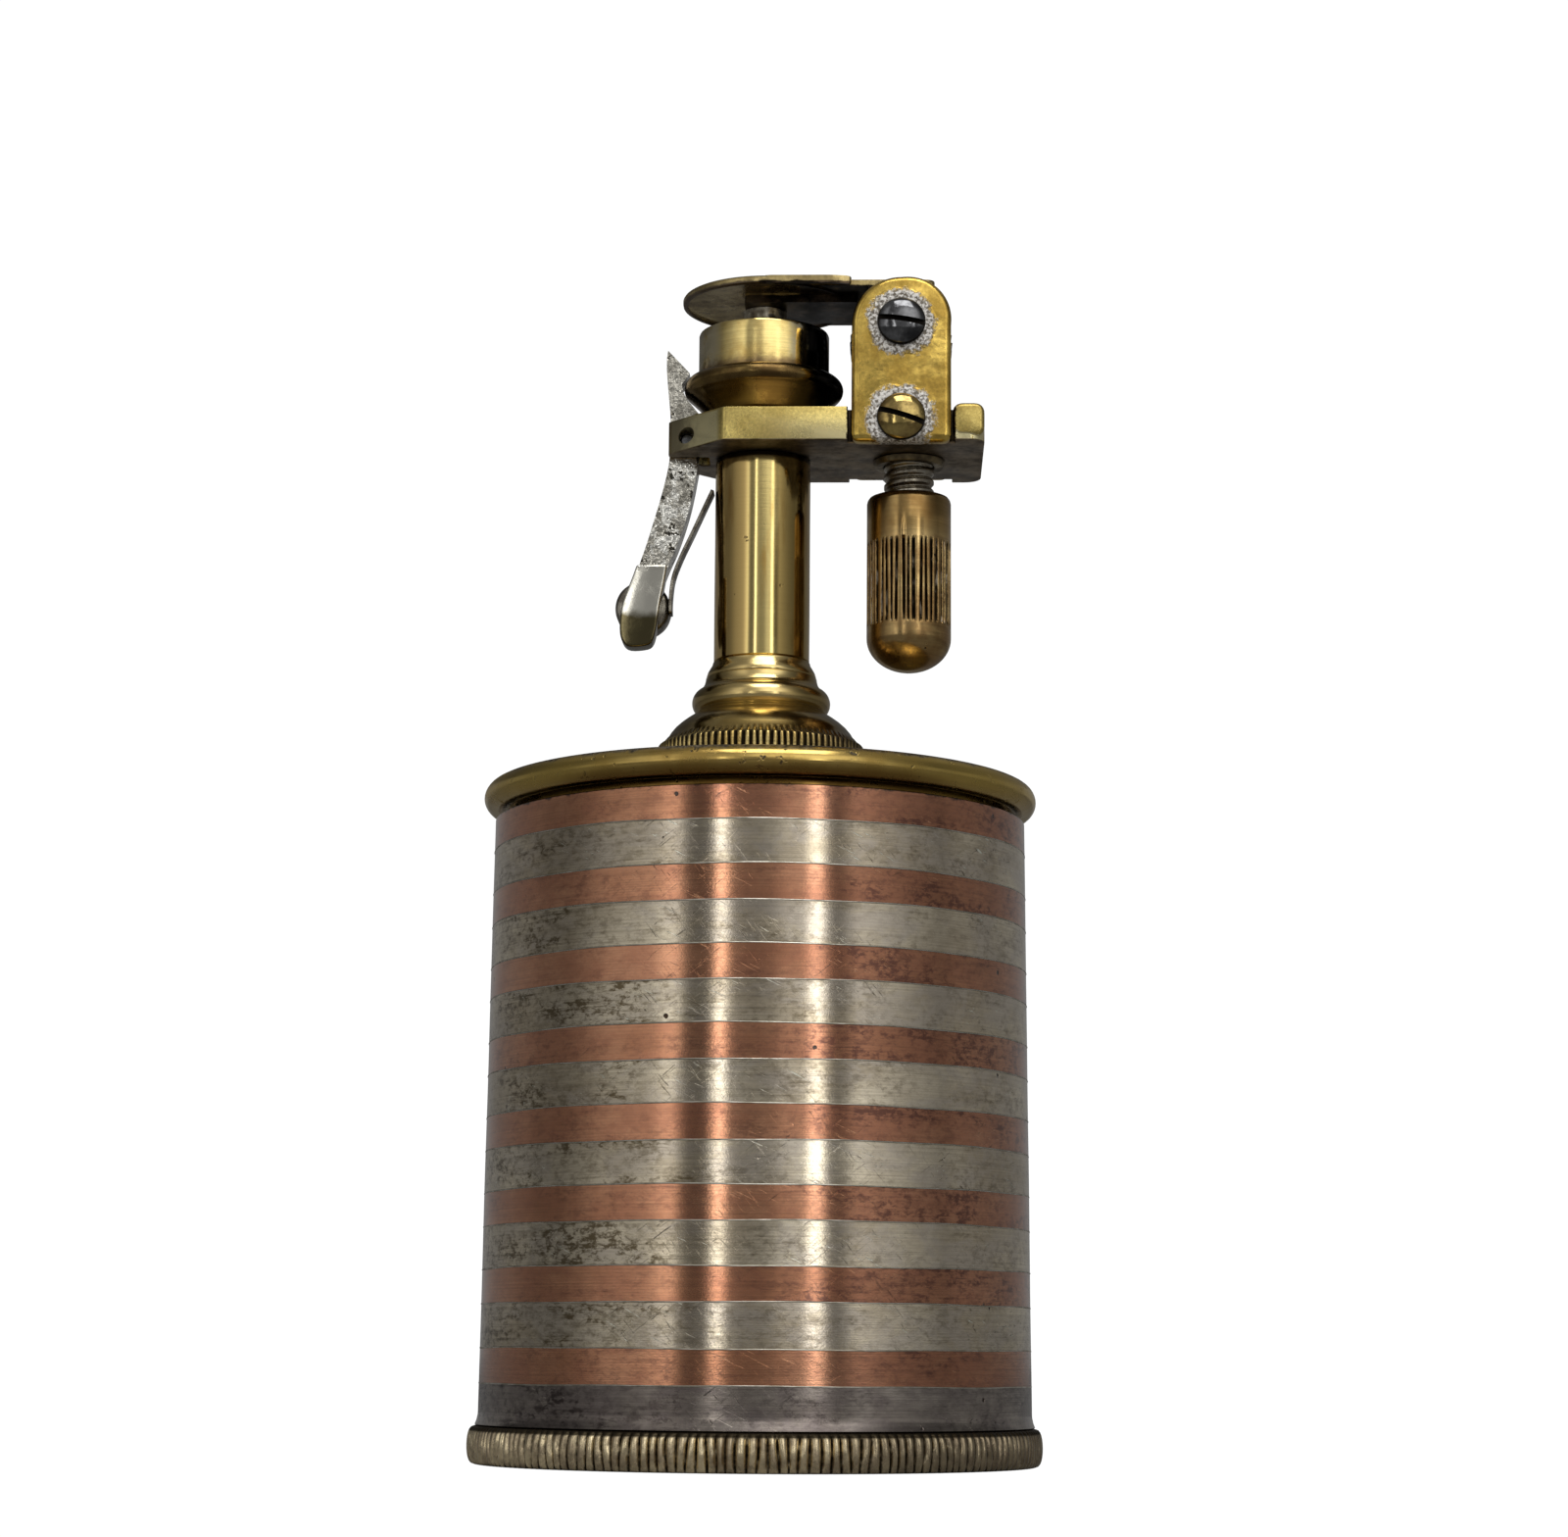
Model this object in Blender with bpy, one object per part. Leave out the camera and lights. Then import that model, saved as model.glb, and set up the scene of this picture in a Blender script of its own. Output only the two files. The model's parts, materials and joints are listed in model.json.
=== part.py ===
"""Semi-automatic petrol table lighter, modelled piece by piece.

A striped round fuel tank stands on a knurled screw cap.  A hollow stem carries a brass platform
with two ears.  A sprung arm hinged between the ears lifts the snuffer off the wick and turns the
striker wheel against the flint, once a trigger lever lets go of the snuffer's flange.

Lengths are millimetres in the constants and metres in the scene.  +Z is up, the tank's axis is
X = Y = 0, the trigger lever is on the -X side and the arm's hinge on the +X side.
"""

import math

import bmesh
import bpy
from mathutils import Vector

MM = 0.001
SEAM = 0.06  # gap left between pieces that touch

# Tank
ROUND_STEPS = 32
CAP_RADIUS = 22.0
CAP_TOP = 2.5
CAP_PLATE = 1.2
CAP_KNURL_STEPS = 72
CAP_KNURL_DEPTH = 0.2
CAP_WALL = 1.0
TANK_BOTTOM = 2.9
TANK_TOP = 49.4
TUBE_INNER = 19.5
TUBE_OUTER = 20.2
BAND_FOOT_RADIUS = 21.19
BAND_HEAD_RADIUS = 20.79
BAND_PAIRS = 8
COPPER_SHARE = 0.448  # share of a copper and silver pair's height that is copper
COVER_TOP = 52.0
COVER_UNDERSIDE = 51.2
COVER_SPIGOT = (18.6, 19.4, 47.0)  # inner radius, outer radius, bottom
BEAD_RADIUS = 1.16
BEAD_CENTRE = (20.55, 51.13)
NECK_OUTER = 6.2
NECK_INNER = 4.2
NECK_TOP = 53.95
NECK_FLANGE = (8.0, 50.2)  # radius, bottom
WADDING = (17.8, 1.5, 49.9)  # radius, bottom, top
THREAD_RADIUS = 19.2
THREAD_TOP = 7.0

# Stem
FOOT_RADIUS = 8.15
FOOT_RING_TOP = 55.7
FOOT_REED_STEPS = 40
FOOT_REED_DEPTH = 0.15
FOOT_BORE = 2.3
FOOT_SOCKET_BOTTOM = 58.5
FOOT_HOLLOW_TOP = 54.2
FOOT_RECESS = (7.5, 52.6)  # radius and top of the recess that holds the filler gasket
STEM_RADIUS = 3.8
STEM_BOTTOM = 62.45
SPIGOT_RADIUS = 3.0
STEM_BORE = 2.0
WICK_RADIUS = 1.4
WICK_SPAN = (24.0, 85.9)
WICK_TUBE = (1.9, 84.2)  # radius, top
WICK_TUBE_FOOT = (3.2, 0.3)  # radius, thickness

# Platform and ears
PLATFORM_BOTTOM = 79.0
PLATFORM_TOP = 81.7
PLATFORM_LEFT = -7.5
PLATFORM_RIGHT = 17.6
PLATFORM_HALF_WIDTH = 6.8
NOSE_HALF_WIDTH = 2.45
CHAMFER_START = -2.9
END_ROUNDING = 1.1
SLOT_HALF_WIDTH = 1.35
SLOT_END = -4.3
EAR_X = 11.05
EAR_HALF_WIDTH = 3.9
EAR_BOTTOM = 78.75
EAR_ROUND_Z = 88.25
EAR_INNER = 5.8
EAR_OUTER = 7.4
EAR_SHOULDER = 0.06  # how much fuller than a round the ear's right shoulder is
NOTCH_DEPTH_Y = 5.74
NOTCH_SIDE = 0.3
NOSE_CORNER = 0.3
TAPPED_HOLE_END_Y = 3.9
AXLE = (11.05, 88.37)
LOWER_SCREW_Z = 80.63
SCREW_HEAD_RADIUS = 1.9
SCREW_HEAD_HEIGHT = 0.95
SHANK_RADIUS = 0.95
AXLE_LENGTH = 8.45  # from the middle to the shank's end, behind the nut
SCREW_DEPTH_Y = 4.1  # how near the middle a lower screw's shank reaches
NUT_HEIGHT = 0.95
HOLE_RADIUS = 1.02
SLOT_WIDTH = 0.42
SLOT_FLOOR = 0.4  # height of a slot's floor over the head's seat
UPPER_SLOT_TILT = 8.0
LOWER_SLOT_TILT = 17.0

# Striker
WHEEL_RADIUS = 4.45
WHEEL_FACES = (-1.9, 1.3)
WHEEL_TEETH = 32
TOOTH_DEPTH = 0.2
WHEEL_BORE = 1.1
WHEEL_EDGE = 0.25
RATCHET_RADIUS = 3.1
RATCHET_FACES = (1.4, 2.2)
RATCHET_TEETH = 12
RATCHET_TOOTH = ((0.0, 0.0), (0.04, 0.45), (0.5, 0.25))  # (share of a tooth's turn, step in from the rim)
FLINT_X = 11.7
FLINT_RADIUS = 1.25
FLINT_SPAN = (79.6, 83.8)
FLINT_TUBE = (2.0, 1.42, 71.5, 83.4)  # outer radius, bore, bottom, top
FLINT_CAP_RADIUS = 3.36
FLINT_CAP_BOTTOM = 61.75
FLINT_CAP_TOP = 75.95
FLINT_CAP_DOME = 2.7
FLINT_CAP_BORE_END = 66.5
GROOVE_DEPTH = 0.14
GROOVE_HEIGHTS = (65.3, 65.6, 71.8, 72.1)  # run-in, full depth from and to, run-out
COLLAR = (2.7, 2.9, 0.5)  # lower radius, upper radius, height
PLUNGER_RADIUS = 0.9
PLUNGER_TOP = 73.0
FLINT_SPRING = (1.0, 0.15, 7.0)  # coil radius, wire radius, turns
ARM_SPRING = (1.6, 0.16, 2.0, 2.55, 3.23)  # coil radius, wire radius, turns, from Y, to Y

# Snuffer
DISC_CENTRE = (0.3, 0.3)
DISC_RADIUS = 6.9
DISC_TOP = 92.5
DISC_UNDERSIDE = 92.1
DISC_RIM_BOTTOM = 91.85
ARM_HALF_WIDTH = 5.4
ARM_TAIL = 13.7
ARM_EDGE_STEP = 0.12  # how much lower than the disc the arm's underside is
RIM_WALL = 0.35
NEAR_EDGE = [(0.3, -6.6), (5.9, -6.6), (6.4, -6.2), (6.8, -5.2), (0.3, -5.2)]
UNDER_STRAP = (-1.5, 7.6, 2.85, 91.4)  # from X, to X, half width, underside
WHEEL_WINDOW = (8.3, 14.5, -2.3, 1.42)  # from X, past the tail, from Y, to Y
PAWL = [(8.0, 91.88), (8.0, 91.58), (8.6, 91.5), (9.9, 91.42), (10.1, 91.62), (8.8, 91.88)]
CHEEK_ROOT = (8.4, 13.5)  # where a cheek starts and ends along the arm
CHEEK_FACES = (4.5, 5.4)
CHEEK_RADIUS = 2.3
BOSS = (1.8, 89.51, 91.34)  # radius, bottom, top
CUP_RADIUS = 5.25
CUP_INNER = 4.55
CUP_ROOF = 0.8
CUP_SPAN = (85.78, 89.45)
FLANGE_ROLL = 0.85
FLANGE_ROLL_CENTRE = (5.55, 84.85)
FLANGE_BOTTOM = 82.3
FLANGE_MOUTH = 3.6
FLANGE_THROAT = 84.0

# Trigger
LEVER_PIVOT = (-6.0, 80.2)
LEVER_HALF_WIDTH = 1.2
PIN_RADIUS = 0.55
PIN_HALF_LENGTH = 2.6
PIN_HOLE_RADIUS = 0.65
ROLL_CENTRE = (-9.55, 67.0)
ROLL_RADIUS = 2.2
ROLL_FACES = (-0.12, 2.4)
ROLL_EDGE = 0.5
THUMB_FACES = (-2.3, -0.3)
THUMB = [(-7.6, 70.0), (-8.2, 68.2), (-8.95, 66.0), (-9.05, 64.2), (-9.3, 63.35)]
THUMB += [(-10.9, 63.35), (-11.2, 64.2), (-11.1, 66.3), (-10.45, 68.3), (-9.9, 70.0)]
SPRING_LINE = [(-7.15, 66.4), (-7.15, 67.6), (-6.95, 69.3), (-6.35, 71.0), (-5.45, 73.0), (-4.6, 75.0), (-4.1, 76.3)]
SPRING_HALF_WIDTH = 0.9
SPRING_THICKNESS = 0.3

FINISHES = {
    "copper": ((0.56, 0.26, 0.17), 0.34, 1.0),
    "nickel_silver": ((0.50, 0.49, 0.43), 0.38, 1.0),
    "brass": ((0.60, 0.44, 0.17), 0.3, 1.0),
    "dark_brass": ((0.40, 0.29, 0.12), 0.4, 1.0),
    "knurled_brass": ((0.42, 0.38, 0.28), 0.45, 1.0),
    "steel": ((0.50, 0.50, 0.50), 0.35, 1.0),
    "dark_steel": ((0.16, 0.16, 0.17), 0.35, 1.0),
    "bright_nickel": ((0.66, 0.65, 0.62), 0.25, 1.0),
    "spring_steel": ((0.30, 0.29, 0.27), 0.35, 1.0),
    "flint": ((0.12, 0.12, 0.12), 0.7, 0.3),
    "cotton": ((0.80, 0.76, 0.66), 0.95, 0.0),
    "leather": ((0.16, 0.10, 0.06), 0.8, 0.0),
}


def clear_scene():
    for obj in list(bpy.data.objects):
        bpy.data.objects.remove(obj, do_unlink=True)


def material(name):
    found = bpy.data.materials.get(name)
    if found:
        return found
    colour, roughness, metallic = FINISHES[name]
    made = bpy.data.materials.new(name)
    made.use_nodes = True
    shader = made.node_tree.nodes["Principled BSDF"]
    shader.inputs["Base Color"].default_value = (*colour, 1.0)
    shader.inputs["Roughness"].default_value = roughness
    shader.inputs["Metallic"].default_value = metallic
    return made


def place(name, bm, finish, pivot=(0.0, 0.0, 0.0)):
    """Makes a closed mesh in millimetres into an object whose origin is the pivot."""
    bmesh.ops.recalc_face_normals(bm, faces=bm.faces)
    bmesh.ops.translate(bm, verts=bm.verts, vec=-Vector(pivot))
    bmesh.ops.scale(bm, verts=bm.verts, vec=(MM, MM, MM))
    mesh = bpy.data.meshes.new(name)
    bm.to_mesh(mesh)
    bm.free()
    mesh.shade_smooth()
    mesh.set_sharp_from_angle(angle=math.radians(35))
    mesh.materials.append(material(finish))
    obj = bpy.data.objects.new(name, mesh)
    obj.location = Vector(pivot) * MM
    bpy.context.scene.collection.objects.link(obj)
    return obj


def lathe(profile, steps=ROUND_STEPS, ridged=(), depth=0.0):
    """Turns a profile of (radius, z) points about Z.  Ridged points step in by depth every other step."""
    bm = bmesh.new()
    rings = []
    for index, (radius, z) in enumerate(profile):
        if radius == 0.0:
            rings.append([bm.verts.new((0.0, 0.0, z))])
            continue
        ring = []
        for step in range(steps):
            angle = 2 * math.pi * step / steps
            reach = radius - depth * (step % 2) if index in ridged else radius
            ring.append(bm.verts.new((reach * math.cos(angle), reach * math.sin(angle), z)))
        rings.append(ring)
    following = rings[1:] if profile[0][0] == 0.0 else rings[1:] + rings[:1]
    for low, high in zip(rings, following):
        for step in range(steps):
            corners = [low[step % len(low)], low[(step + 1) % steps % len(low)]]
            corners += [high[(step + 1) % steps % len(high)], high[step % len(high)]]
            bm.faces.new(list(dict.fromkeys(corners)))
    return bm


def turned(name, profile, finish, centre=(0.0, 0.0), steps=ROUND_STEPS, ridged=(), depth=0.0):
    """A turned piece on a vertical axis, with its origin on that axis at the profile's first height."""
    bm = lathe(profile, steps, ridged, depth)
    bmesh.ops.translate(bm, verts=bm.verts, vec=(centre[0], centre[1], 0.0))
    return place(name, bm, finish, (centre[0], centre[1], profile[0][1]))


def turned_across(name, profile, finish, axis_xz, steps=24, ridged=(), depth=0.0, facing=-1):
    """A turned piece on an axis along Y.  The profile's z grows towards -Y, or +Y if facing is 1."""
    bm = lathe(profile, steps, ridged, depth)
    obj = place(name, bm, finish)
    obj.rotation_euler = (-facing * math.pi / 2, 0.0, 0.0)
    obj.location = (axis_xz[0] * MM, 0.0, axis_xz[1] * MM)
    return obj


def extrude(outline, low, high, along):
    """A prism of an outline: along "Y" it holds (x, z) points, along "Z" (x, y) points."""
    bm = bmesh.new()
    ends = []
    for depth in (low, high):
        if along == "Y":
            points = [(a, depth, b) for a, b in outline]
        else:
            points = [(a, b, depth) for a, b in outline]
        ends.append([bm.verts.new(point) for point in points])
    bm.faces.new(ends[0])
    bm.faces.new(ends[1])
    for index in range(len(outline)):
        following = (index + 1) % len(outline)
        bm.faces.new((ends[0][index], ends[0][following], ends[1][following], ends[1][index]))
    return bm


def box(low, high):
    outline = [(low[0], low[1]), (high[0], low[1]), (high[0], high[1]), (low[0], high[1])]
    return extrude(outline, low[2], high[2], "Z")


def arc(centre, radius, start, end, count):
    """Points on an arc from start to end degrees, counted anticlockwise."""
    points = []
    for index in range(count):
        angle = math.radians(start + (end - start) * index / (count - 1))
        points.append((centre[0] + radius * math.cos(angle), centre[1] + radius * math.sin(angle)))
    return points


def helper(name, bm):
    """A cutter or an added shape that a Boolean uses.  It isn't a piece of its own."""
    obj = place(name, bm, "steel")
    obj.hide_render = True
    obj.display_type = "WIRE"
    return obj


def boolean(obj, other, operation="DIFFERENCE"):
    modifier = obj.modifiers.new(other.name, "BOOLEAN")
    modifier.operation = operation
    modifier.object = other


def hole_across(obj, name, centre_xz, radius, reach=9.0, steps=20):
    """Bores a hole along Y right through an object."""
    outline = arc(centre_xz, radius, 0.0, 360.0 * (steps - 1) / steps, steps)
    boolean(obj, helper(name, extrude(outline, -reach, reach, "Y")))


def hole_down(obj, name, centre_xy, radius, low, high, steps=24):
    """Bores a hole along Z right through an object."""
    outline = arc(centre_xy, radius, 0.0, 360.0 * (steps - 1) / steps, steps)
    boolean(obj, helper(name, extrude(outline, low, high, "Z")))


def tube_along(path, radius, sides):
    """A round wire along a path of points, with closed ends."""
    bm = bmesh.new()
    rings = []
    for index, point in enumerate(path):
        before = Vector(path[max(index - 1, 0)])
        after = Vector(path[min(index + 1, len(path) - 1)])
        forward = (after - before).normalized()
        side = forward.orthogonal().normalized() if index == 0 else side
        side = (side - forward * side.dot(forward)).normalized()
        up = forward.cross(side)
        ring = []
        for step in range(sides):
            angle = 2 * math.pi * step / sides
            offset = side * math.cos(angle) + up * math.sin(angle)
            ring.append(bm.verts.new(Vector(point) + offset * radius))
        rings.append(ring)
    for low, high in zip(rings, rings[1:]):
        for step in range(sides):
            following = (step + 1) % sides
            bm.faces.new((low[step], low[following], high[following], high[step]))
    bm.faces.new(rings[0])
    bm.faces.new(rings[-1])
    return bm


def band_radius(z):
    """The sleeve's outer radius: it widens a little towards the foot."""
    share = (z - TANK_BOTTOM) / (TANK_TOP - TANK_BOTTOM)
    return BAND_FOOT_RADIUS + (BAND_HEAD_RADIUS - BAND_FOOT_RADIUS) * share


def make_base():
    edge_radius = CAP_TOP / 2
    edge = arc((CAP_RADIUS - 1.0, edge_radius), edge_radius, -90.0, 90.0, 5)
    edge = [(min(radius, CAP_RADIUS), z) for radius, z in edge]
    wall_inner = THREAD_RADIUS - CAP_WALL
    wall = [(THREAD_RADIUS, CAP_TOP), (THREAD_RADIUS, THREAD_TOP), (wall_inner, THREAD_TOP)]
    profile = [(0.0, 0.0)] + edge + wall + [(wall_inner, CAP_PLATE), (0.0, CAP_PLATE)]
    turned(
        "base_cap", profile, "knurled_brass", steps=CAP_KNURL_STEPS, ridged=(2, 3, 4), depth=CAP_KNURL_DEPTH
    )
    washer("base_gasket", THREAD_RADIUS + 0.15, BAND_HEAD_RADIUS - 0.3, CAP_TOP + SEAM, TANK_BOTTOM - SEAM)


def washer(name, inner, outer, low, high):
    turned(name, [(inner, low), (outer, low), (outer, high), (inner, high)], "leather")


def make_band(name, finish, low, high, flare=0.0):
    inner = TUBE_OUTER + SEAM
    outline = [(inner, low), (band_radius(low) + flare, low), (band_radius(high), high), (inner, high)]
    turned(name, outline, finish)


def make_tank():
    tube = [(TUBE_INNER, TANK_BOTTOM), (TUBE_OUTER, TANK_BOTTOM), (TUBE_OUTER, TANK_TOP), (TUBE_INNER, TANK_TOP)]
    turned("fuel_tank", tube, "dark_brass")
    pair_height = (TANK_TOP - TANK_BOTTOM) / BAND_PAIRS
    copper_height = pair_height * COPPER_SHARE
    for pair in range(BAND_PAIRS):
        top = TANK_TOP - pair * pair_height
        middle = top - copper_height
        bottom = top - pair_height
        flare = 0.25 if pair == BAND_PAIRS - 1 else 0.0
        make_band(f"copper_band_{pair + 1}", "copper", middle, top)
        make_band(f"silver_band_{pair + 1}", "nickel_silver", bottom, middle - SEAM, flare)


def make_cover():
    bead = arc(BEAD_CENTRE, BEAD_RADIUS, -135.0, 122.0, 10)
    inner, outer, bottom = COVER_SPIGOT
    spigot = [(inner, COVER_UNDERSIDE), (inner, bottom), (outer, bottom), (outer, bead[0][1])]
    hole = NECK_OUTER + 0.1
    turned("top_cover", [(hole, COVER_UNDERSIDE)] + spigot + bead + [(hole, COVER_TOP)], "brass")
    flange, low = NECK_FLANGE
    high = COVER_UNDERSIDE - 0.1
    profile = [(NECK_INNER, low), (flange, low), (flange, high), (NECK_OUTER, high)]
    turned("filler_neck", profile + [(NECK_OUTER, NECK_TOP), (NECK_INNER, NECK_TOP)], "brass")


def make_filling():
    radius, low, high = WADDING
    channel = WICK_RADIUS + 0.2
    turned("cotton_wadding", [(channel, low), (radius, low), (radius, high), (channel, high)], "cotton")
    low, high = WICK_SPAN
    wick = [(0.0, low), (WICK_RADIUS, low), (WICK_RADIUS, high - 0.3), (WICK_RADIUS - 0.4, high), (0.0, high)]
    turned("wick", wick, "cotton", steps=16)


def make_stem_foot():
    """The moulded foot: a reeded ring, a cone, a round bulge and a collar around the stem."""
    top = STEM_BOTTOM - SEAM
    bottom = COVER_TOP + SEAM
    ring = [(FOOT_RADIUS, bottom), (FOOT_RADIUS, FOOT_RING_TOP)]
    cone = [(7.34, 56.3), (6.95, 56.9), (6.3, 57.5), (5.5, 58.05), (5.2, 58.25)]
    bulge = arc((4.3, 59.2), 1.18, -45.0, 75.0, 5)
    collar = [(4.42, 60.8), (4.36, 61.4), (3.95, 62.0), (STEM_RADIUS + 0.09, top)]
    socket_radius = SPIGOT_RADIUS + SEAM
    socket = [(socket_radius, top), (socket_radius, FOOT_SOCKET_BOTTOM), (FOOT_BORE, FOOT_SOCKET_BOTTOM)]
    hollow_radius = NECK_OUTER + 0.15
    recess_radius, recess_top = FOOT_RECESS
    hollow = [(FOOT_BORE, FOOT_HOLLOW_TOP), (hollow_radius, FOOT_HOLLOW_TOP), (hollow_radius, recess_top)]
    recess = [(recess_radius, recess_top), (recess_radius, bottom)]
    profile = ring + cone + bulge + collar + socket + hollow + recess
    turned("stem_foot", profile, "brass", steps=FOOT_REED_STEPS, ridged=(0, 1), depth=FOOT_REED_DEPTH)
    washer("filler_gasket", NECK_OUTER + 0.3, recess_radius - 0.1, bottom, recess_top - SEAM)


def make_stem_tube():
    low = FOOT_SOCKET_BOTTOM + 0.1
    high = PLATFORM_TOP - 0.1
    shoulder = PLATFORM_BOTTOM - SEAM
    lower = [(STEM_BORE, low), (SPIGOT_RADIUS, low), (SPIGOT_RADIUS, STEM_BOTTOM)]
    upper = [(STEM_RADIUS, STEM_BOTTOM), (STEM_RADIUS, shoulder), (SPIGOT_RADIUS, shoulder)]
    turned("stem_tube", lower + upper + [(SPIGOT_RADIUS, high), (STEM_BORE, high)], "brass")


def make_wick_tube():
    low = PLATFORM_TOP + SEAM
    bore = WICK_RADIUS + 0.1
    radius, high = WICK_TUBE
    foot, thickness = WICK_TUBE_FOOT
    step = low + thickness
    profile = [(bore, low), (foot, low), (foot, step), (radius, step), (radius, high), (bore, high)]
    turned("wick_tube", profile, "dark_brass", steps=24)


def make_platform():
    """A bar with a narrowed, slotted nose for the lever and a shallow notch for each ear."""
    half = [
        (PLATFORM_LEFT, NOSE_HALF_WIDTH - NOSE_CORNER),
        (PLATFORM_LEFT + NOSE_CORNER, NOSE_HALF_WIDTH),
        (CHAMFER_START, PLATFORM_HALF_WIDTH),
        (PLATFORM_RIGHT, PLATFORM_HALF_WIDTH),
    ]
    outline = half + [(x, -y) for x, y in reversed(half)]
    bm = extrude(outline, PLATFORM_BOTTOM, PLATFORM_TOP, "Z")
    bm.edges.ensure_lookup_table()
    ends = [edge for edge in bm.edges if all(vert.co.x > PLATFORM_RIGHT - 0.01 for vert in edge.verts)]
    bmesh.ops.bevel(bm, geom=ends, offset=END_ROUNDING, segments=3, affect="EDGES", profile=0.5)
    platform = place("platform", bm, "brass")
    below = PLATFORM_BOTTOM - 1.0
    above = PLATFORM_TOP + 1.0
    slot = box((PLATFORM_LEFT - 1.0, -SLOT_HALF_WIDTH, below), (SLOT_END, SLOT_HALF_WIDTH, above))
    boolean(platform, helper("lever_slot_cutter", slot))
    for side in (-1, 1):
        near, far = sorted((side * NOTCH_DEPTH_Y, side * (PLATFORM_HALF_WIDTH + 1.0)))
        left = EAR_X - EAR_HALF_WIDTH - NOTCH_SIDE
        right = EAR_X + EAR_HALF_WIDTH + NOTCH_SIDE
        notch = box((left, near, below), (right, far, above))
        boolean(platform, helper(f"ear_notch_cutter_{side}", notch))
    hole_down(platform, "stem_hole_cutter", (0.0, 0.0), SPIGOT_RADIUS + SEAM, below, above, 32)
    hole_down(platform, "flint_hole_cutter", (FLINT_X, 0.0), FLINT_TUBE[0] + SEAM, below, above)
    hole_across(platform, "pin_hole_cutter", LEVER_PIVOT, PIN_HOLE_RADIUS)
    for side in (-1, 1):
        outline = arc((EAR_X, LOWER_SCREW_Z), HOLE_RADIUS, 0.0, 342.0, 20)
        near, far = sorted((side * TAPPED_HOLE_END_Y, side * (PLATFORM_HALF_WIDTH + 1.0)))
        boolean(platform, helper(f"tapped_hole_cutter_{side}", extrude(outline, near, far, "Y")))


def make_ear(name, side):
    left = EAR_X - EAR_HALF_WIDTH
    right = EAR_X + EAR_HALF_WIDTH
    outline = [(left, EAR_BOTTOM), (right, EAR_BOTTOM)]
    for step in range(17):
        angle = math.pi * step / 16
        fuller = EAR_SHOULDER * math.sin(2 * angle) if angle < math.pi / 2 else 0.0
        reach = EAR_HALF_WIDTH * (1 + fuller)
        outline.append((EAR_X + reach * math.cos(angle), EAR_ROUND_Z + reach * math.sin(angle)))
    low, high = sorted((side * EAR_INNER, side * EAR_OUTER))
    bm = extrude(outline, low, high, "Y")
    front = [e for e in bm.edges if all(abs(v.co.y - side * EAR_OUTER) < 0.01 for v in e.verts)]
    bmesh.ops.bevel(bm, geom=front, offset=0.25, segments=2, affect="EDGES", profile=0.5)
    ear = place(name, bm, "brass")
    hole_across(ear, f"{name}_axle_cutter", AXLE, HOLE_RADIUS)
    hole_across(ear, f"{name}_screw_cutter", (EAR_X, LOWER_SCREW_Z), HOLE_RADIUS)


def make_screw(name, finish, axis_xz, side, shank, tilt):
    """A domed slotted screw whose head stands on the outer face of an ear."""
    seat = EAR_OUTER + SEAM
    dome = arc((0.0, seat), SCREW_HEAD_RADIUS, 12.0, 78.0, 5)
    squeeze = SCREW_HEAD_HEIGHT / SCREW_HEAD_RADIUS
    dome = [(radius, seat + (z - seat) * squeeze) for radius, z in dome]
    shaft = [(0.0, shank), (SHANK_RADIUS, shank), (SHANK_RADIUS, seat), (SCREW_HEAD_RADIUS, seat)]
    profile = shaft + dome + [(0.0, seat + SCREW_HEAD_HEIGHT)]
    screw = turned_across(name, profile, finish, axis_xz, facing=side)
    reach = SCREW_HEAD_RADIUS + 0.5
    cut = box((-reach, seat + SLOT_FLOOR, -SLOT_WIDTH / 2), (reach, seat + 2.0, SLOT_WIDTH / 2))
    cutter = helper(f"{name}_slot_cutter", cut)
    if side < 0:
        cutter.rotation_euler = (math.pi, math.radians(tilt), 0.0)
    else:
        cutter.rotation_euler = (0.0, math.radians(tilt), 0.0)
    cutter.location = (axis_xz[0] * MM, 0.0, axis_xz[1] * MM)
    boolean(screw, cutter)


def make_ears():
    make_ear("front_ear", -1)
    make_ear("rear_ear", 1)
    lower = (EAR_X, LOWER_SCREW_Z)
    make_screw("front_ear_screw", "brass", lower, -1, SCREW_DEPTH_Y, LOWER_SLOT_TILT)
    make_screw("rear_ear_screw", "brass", lower, 1, SCREW_DEPTH_Y, LOWER_SLOT_TILT)
    make_screw("axle_screw", "dark_steel", AXLE, -1, -AXLE_LENGTH, UPPER_SLOT_TILT)
    low = EAR_OUTER + SEAM
    high = low + NUT_HEIGHT
    bore = (SHANK_RADIUS + SEAM) / math.cos(math.pi / 6)
    nut = [(bore, low), (SCREW_HEAD_RADIUS, low), (SCREW_HEAD_RADIUS, high), (bore, high)]
    turned_across("axle_nut", nut, "dark_steel", AXLE, steps=6, facing=1)


def make_wheel():
    low, high = WHEEL_FACES
    inner = WHEEL_RADIUS - WHEEL_EDGE
    rim = [(inner, low), (WHEEL_RADIUS, low + WHEEL_EDGE), (WHEEL_RADIUS, high - WHEEL_EDGE), (inner, high)]
    profile = [(WHEEL_BORE, low)] + rim + [(WHEEL_BORE, high)]
    steps = 2 * WHEEL_TEETH
    turned_across(
        "striker_wheel", profile, "dark_steel", AXLE, steps=steps, ridged=(2, 3), depth=TOOTH_DEPTH, facing=1
    )


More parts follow.
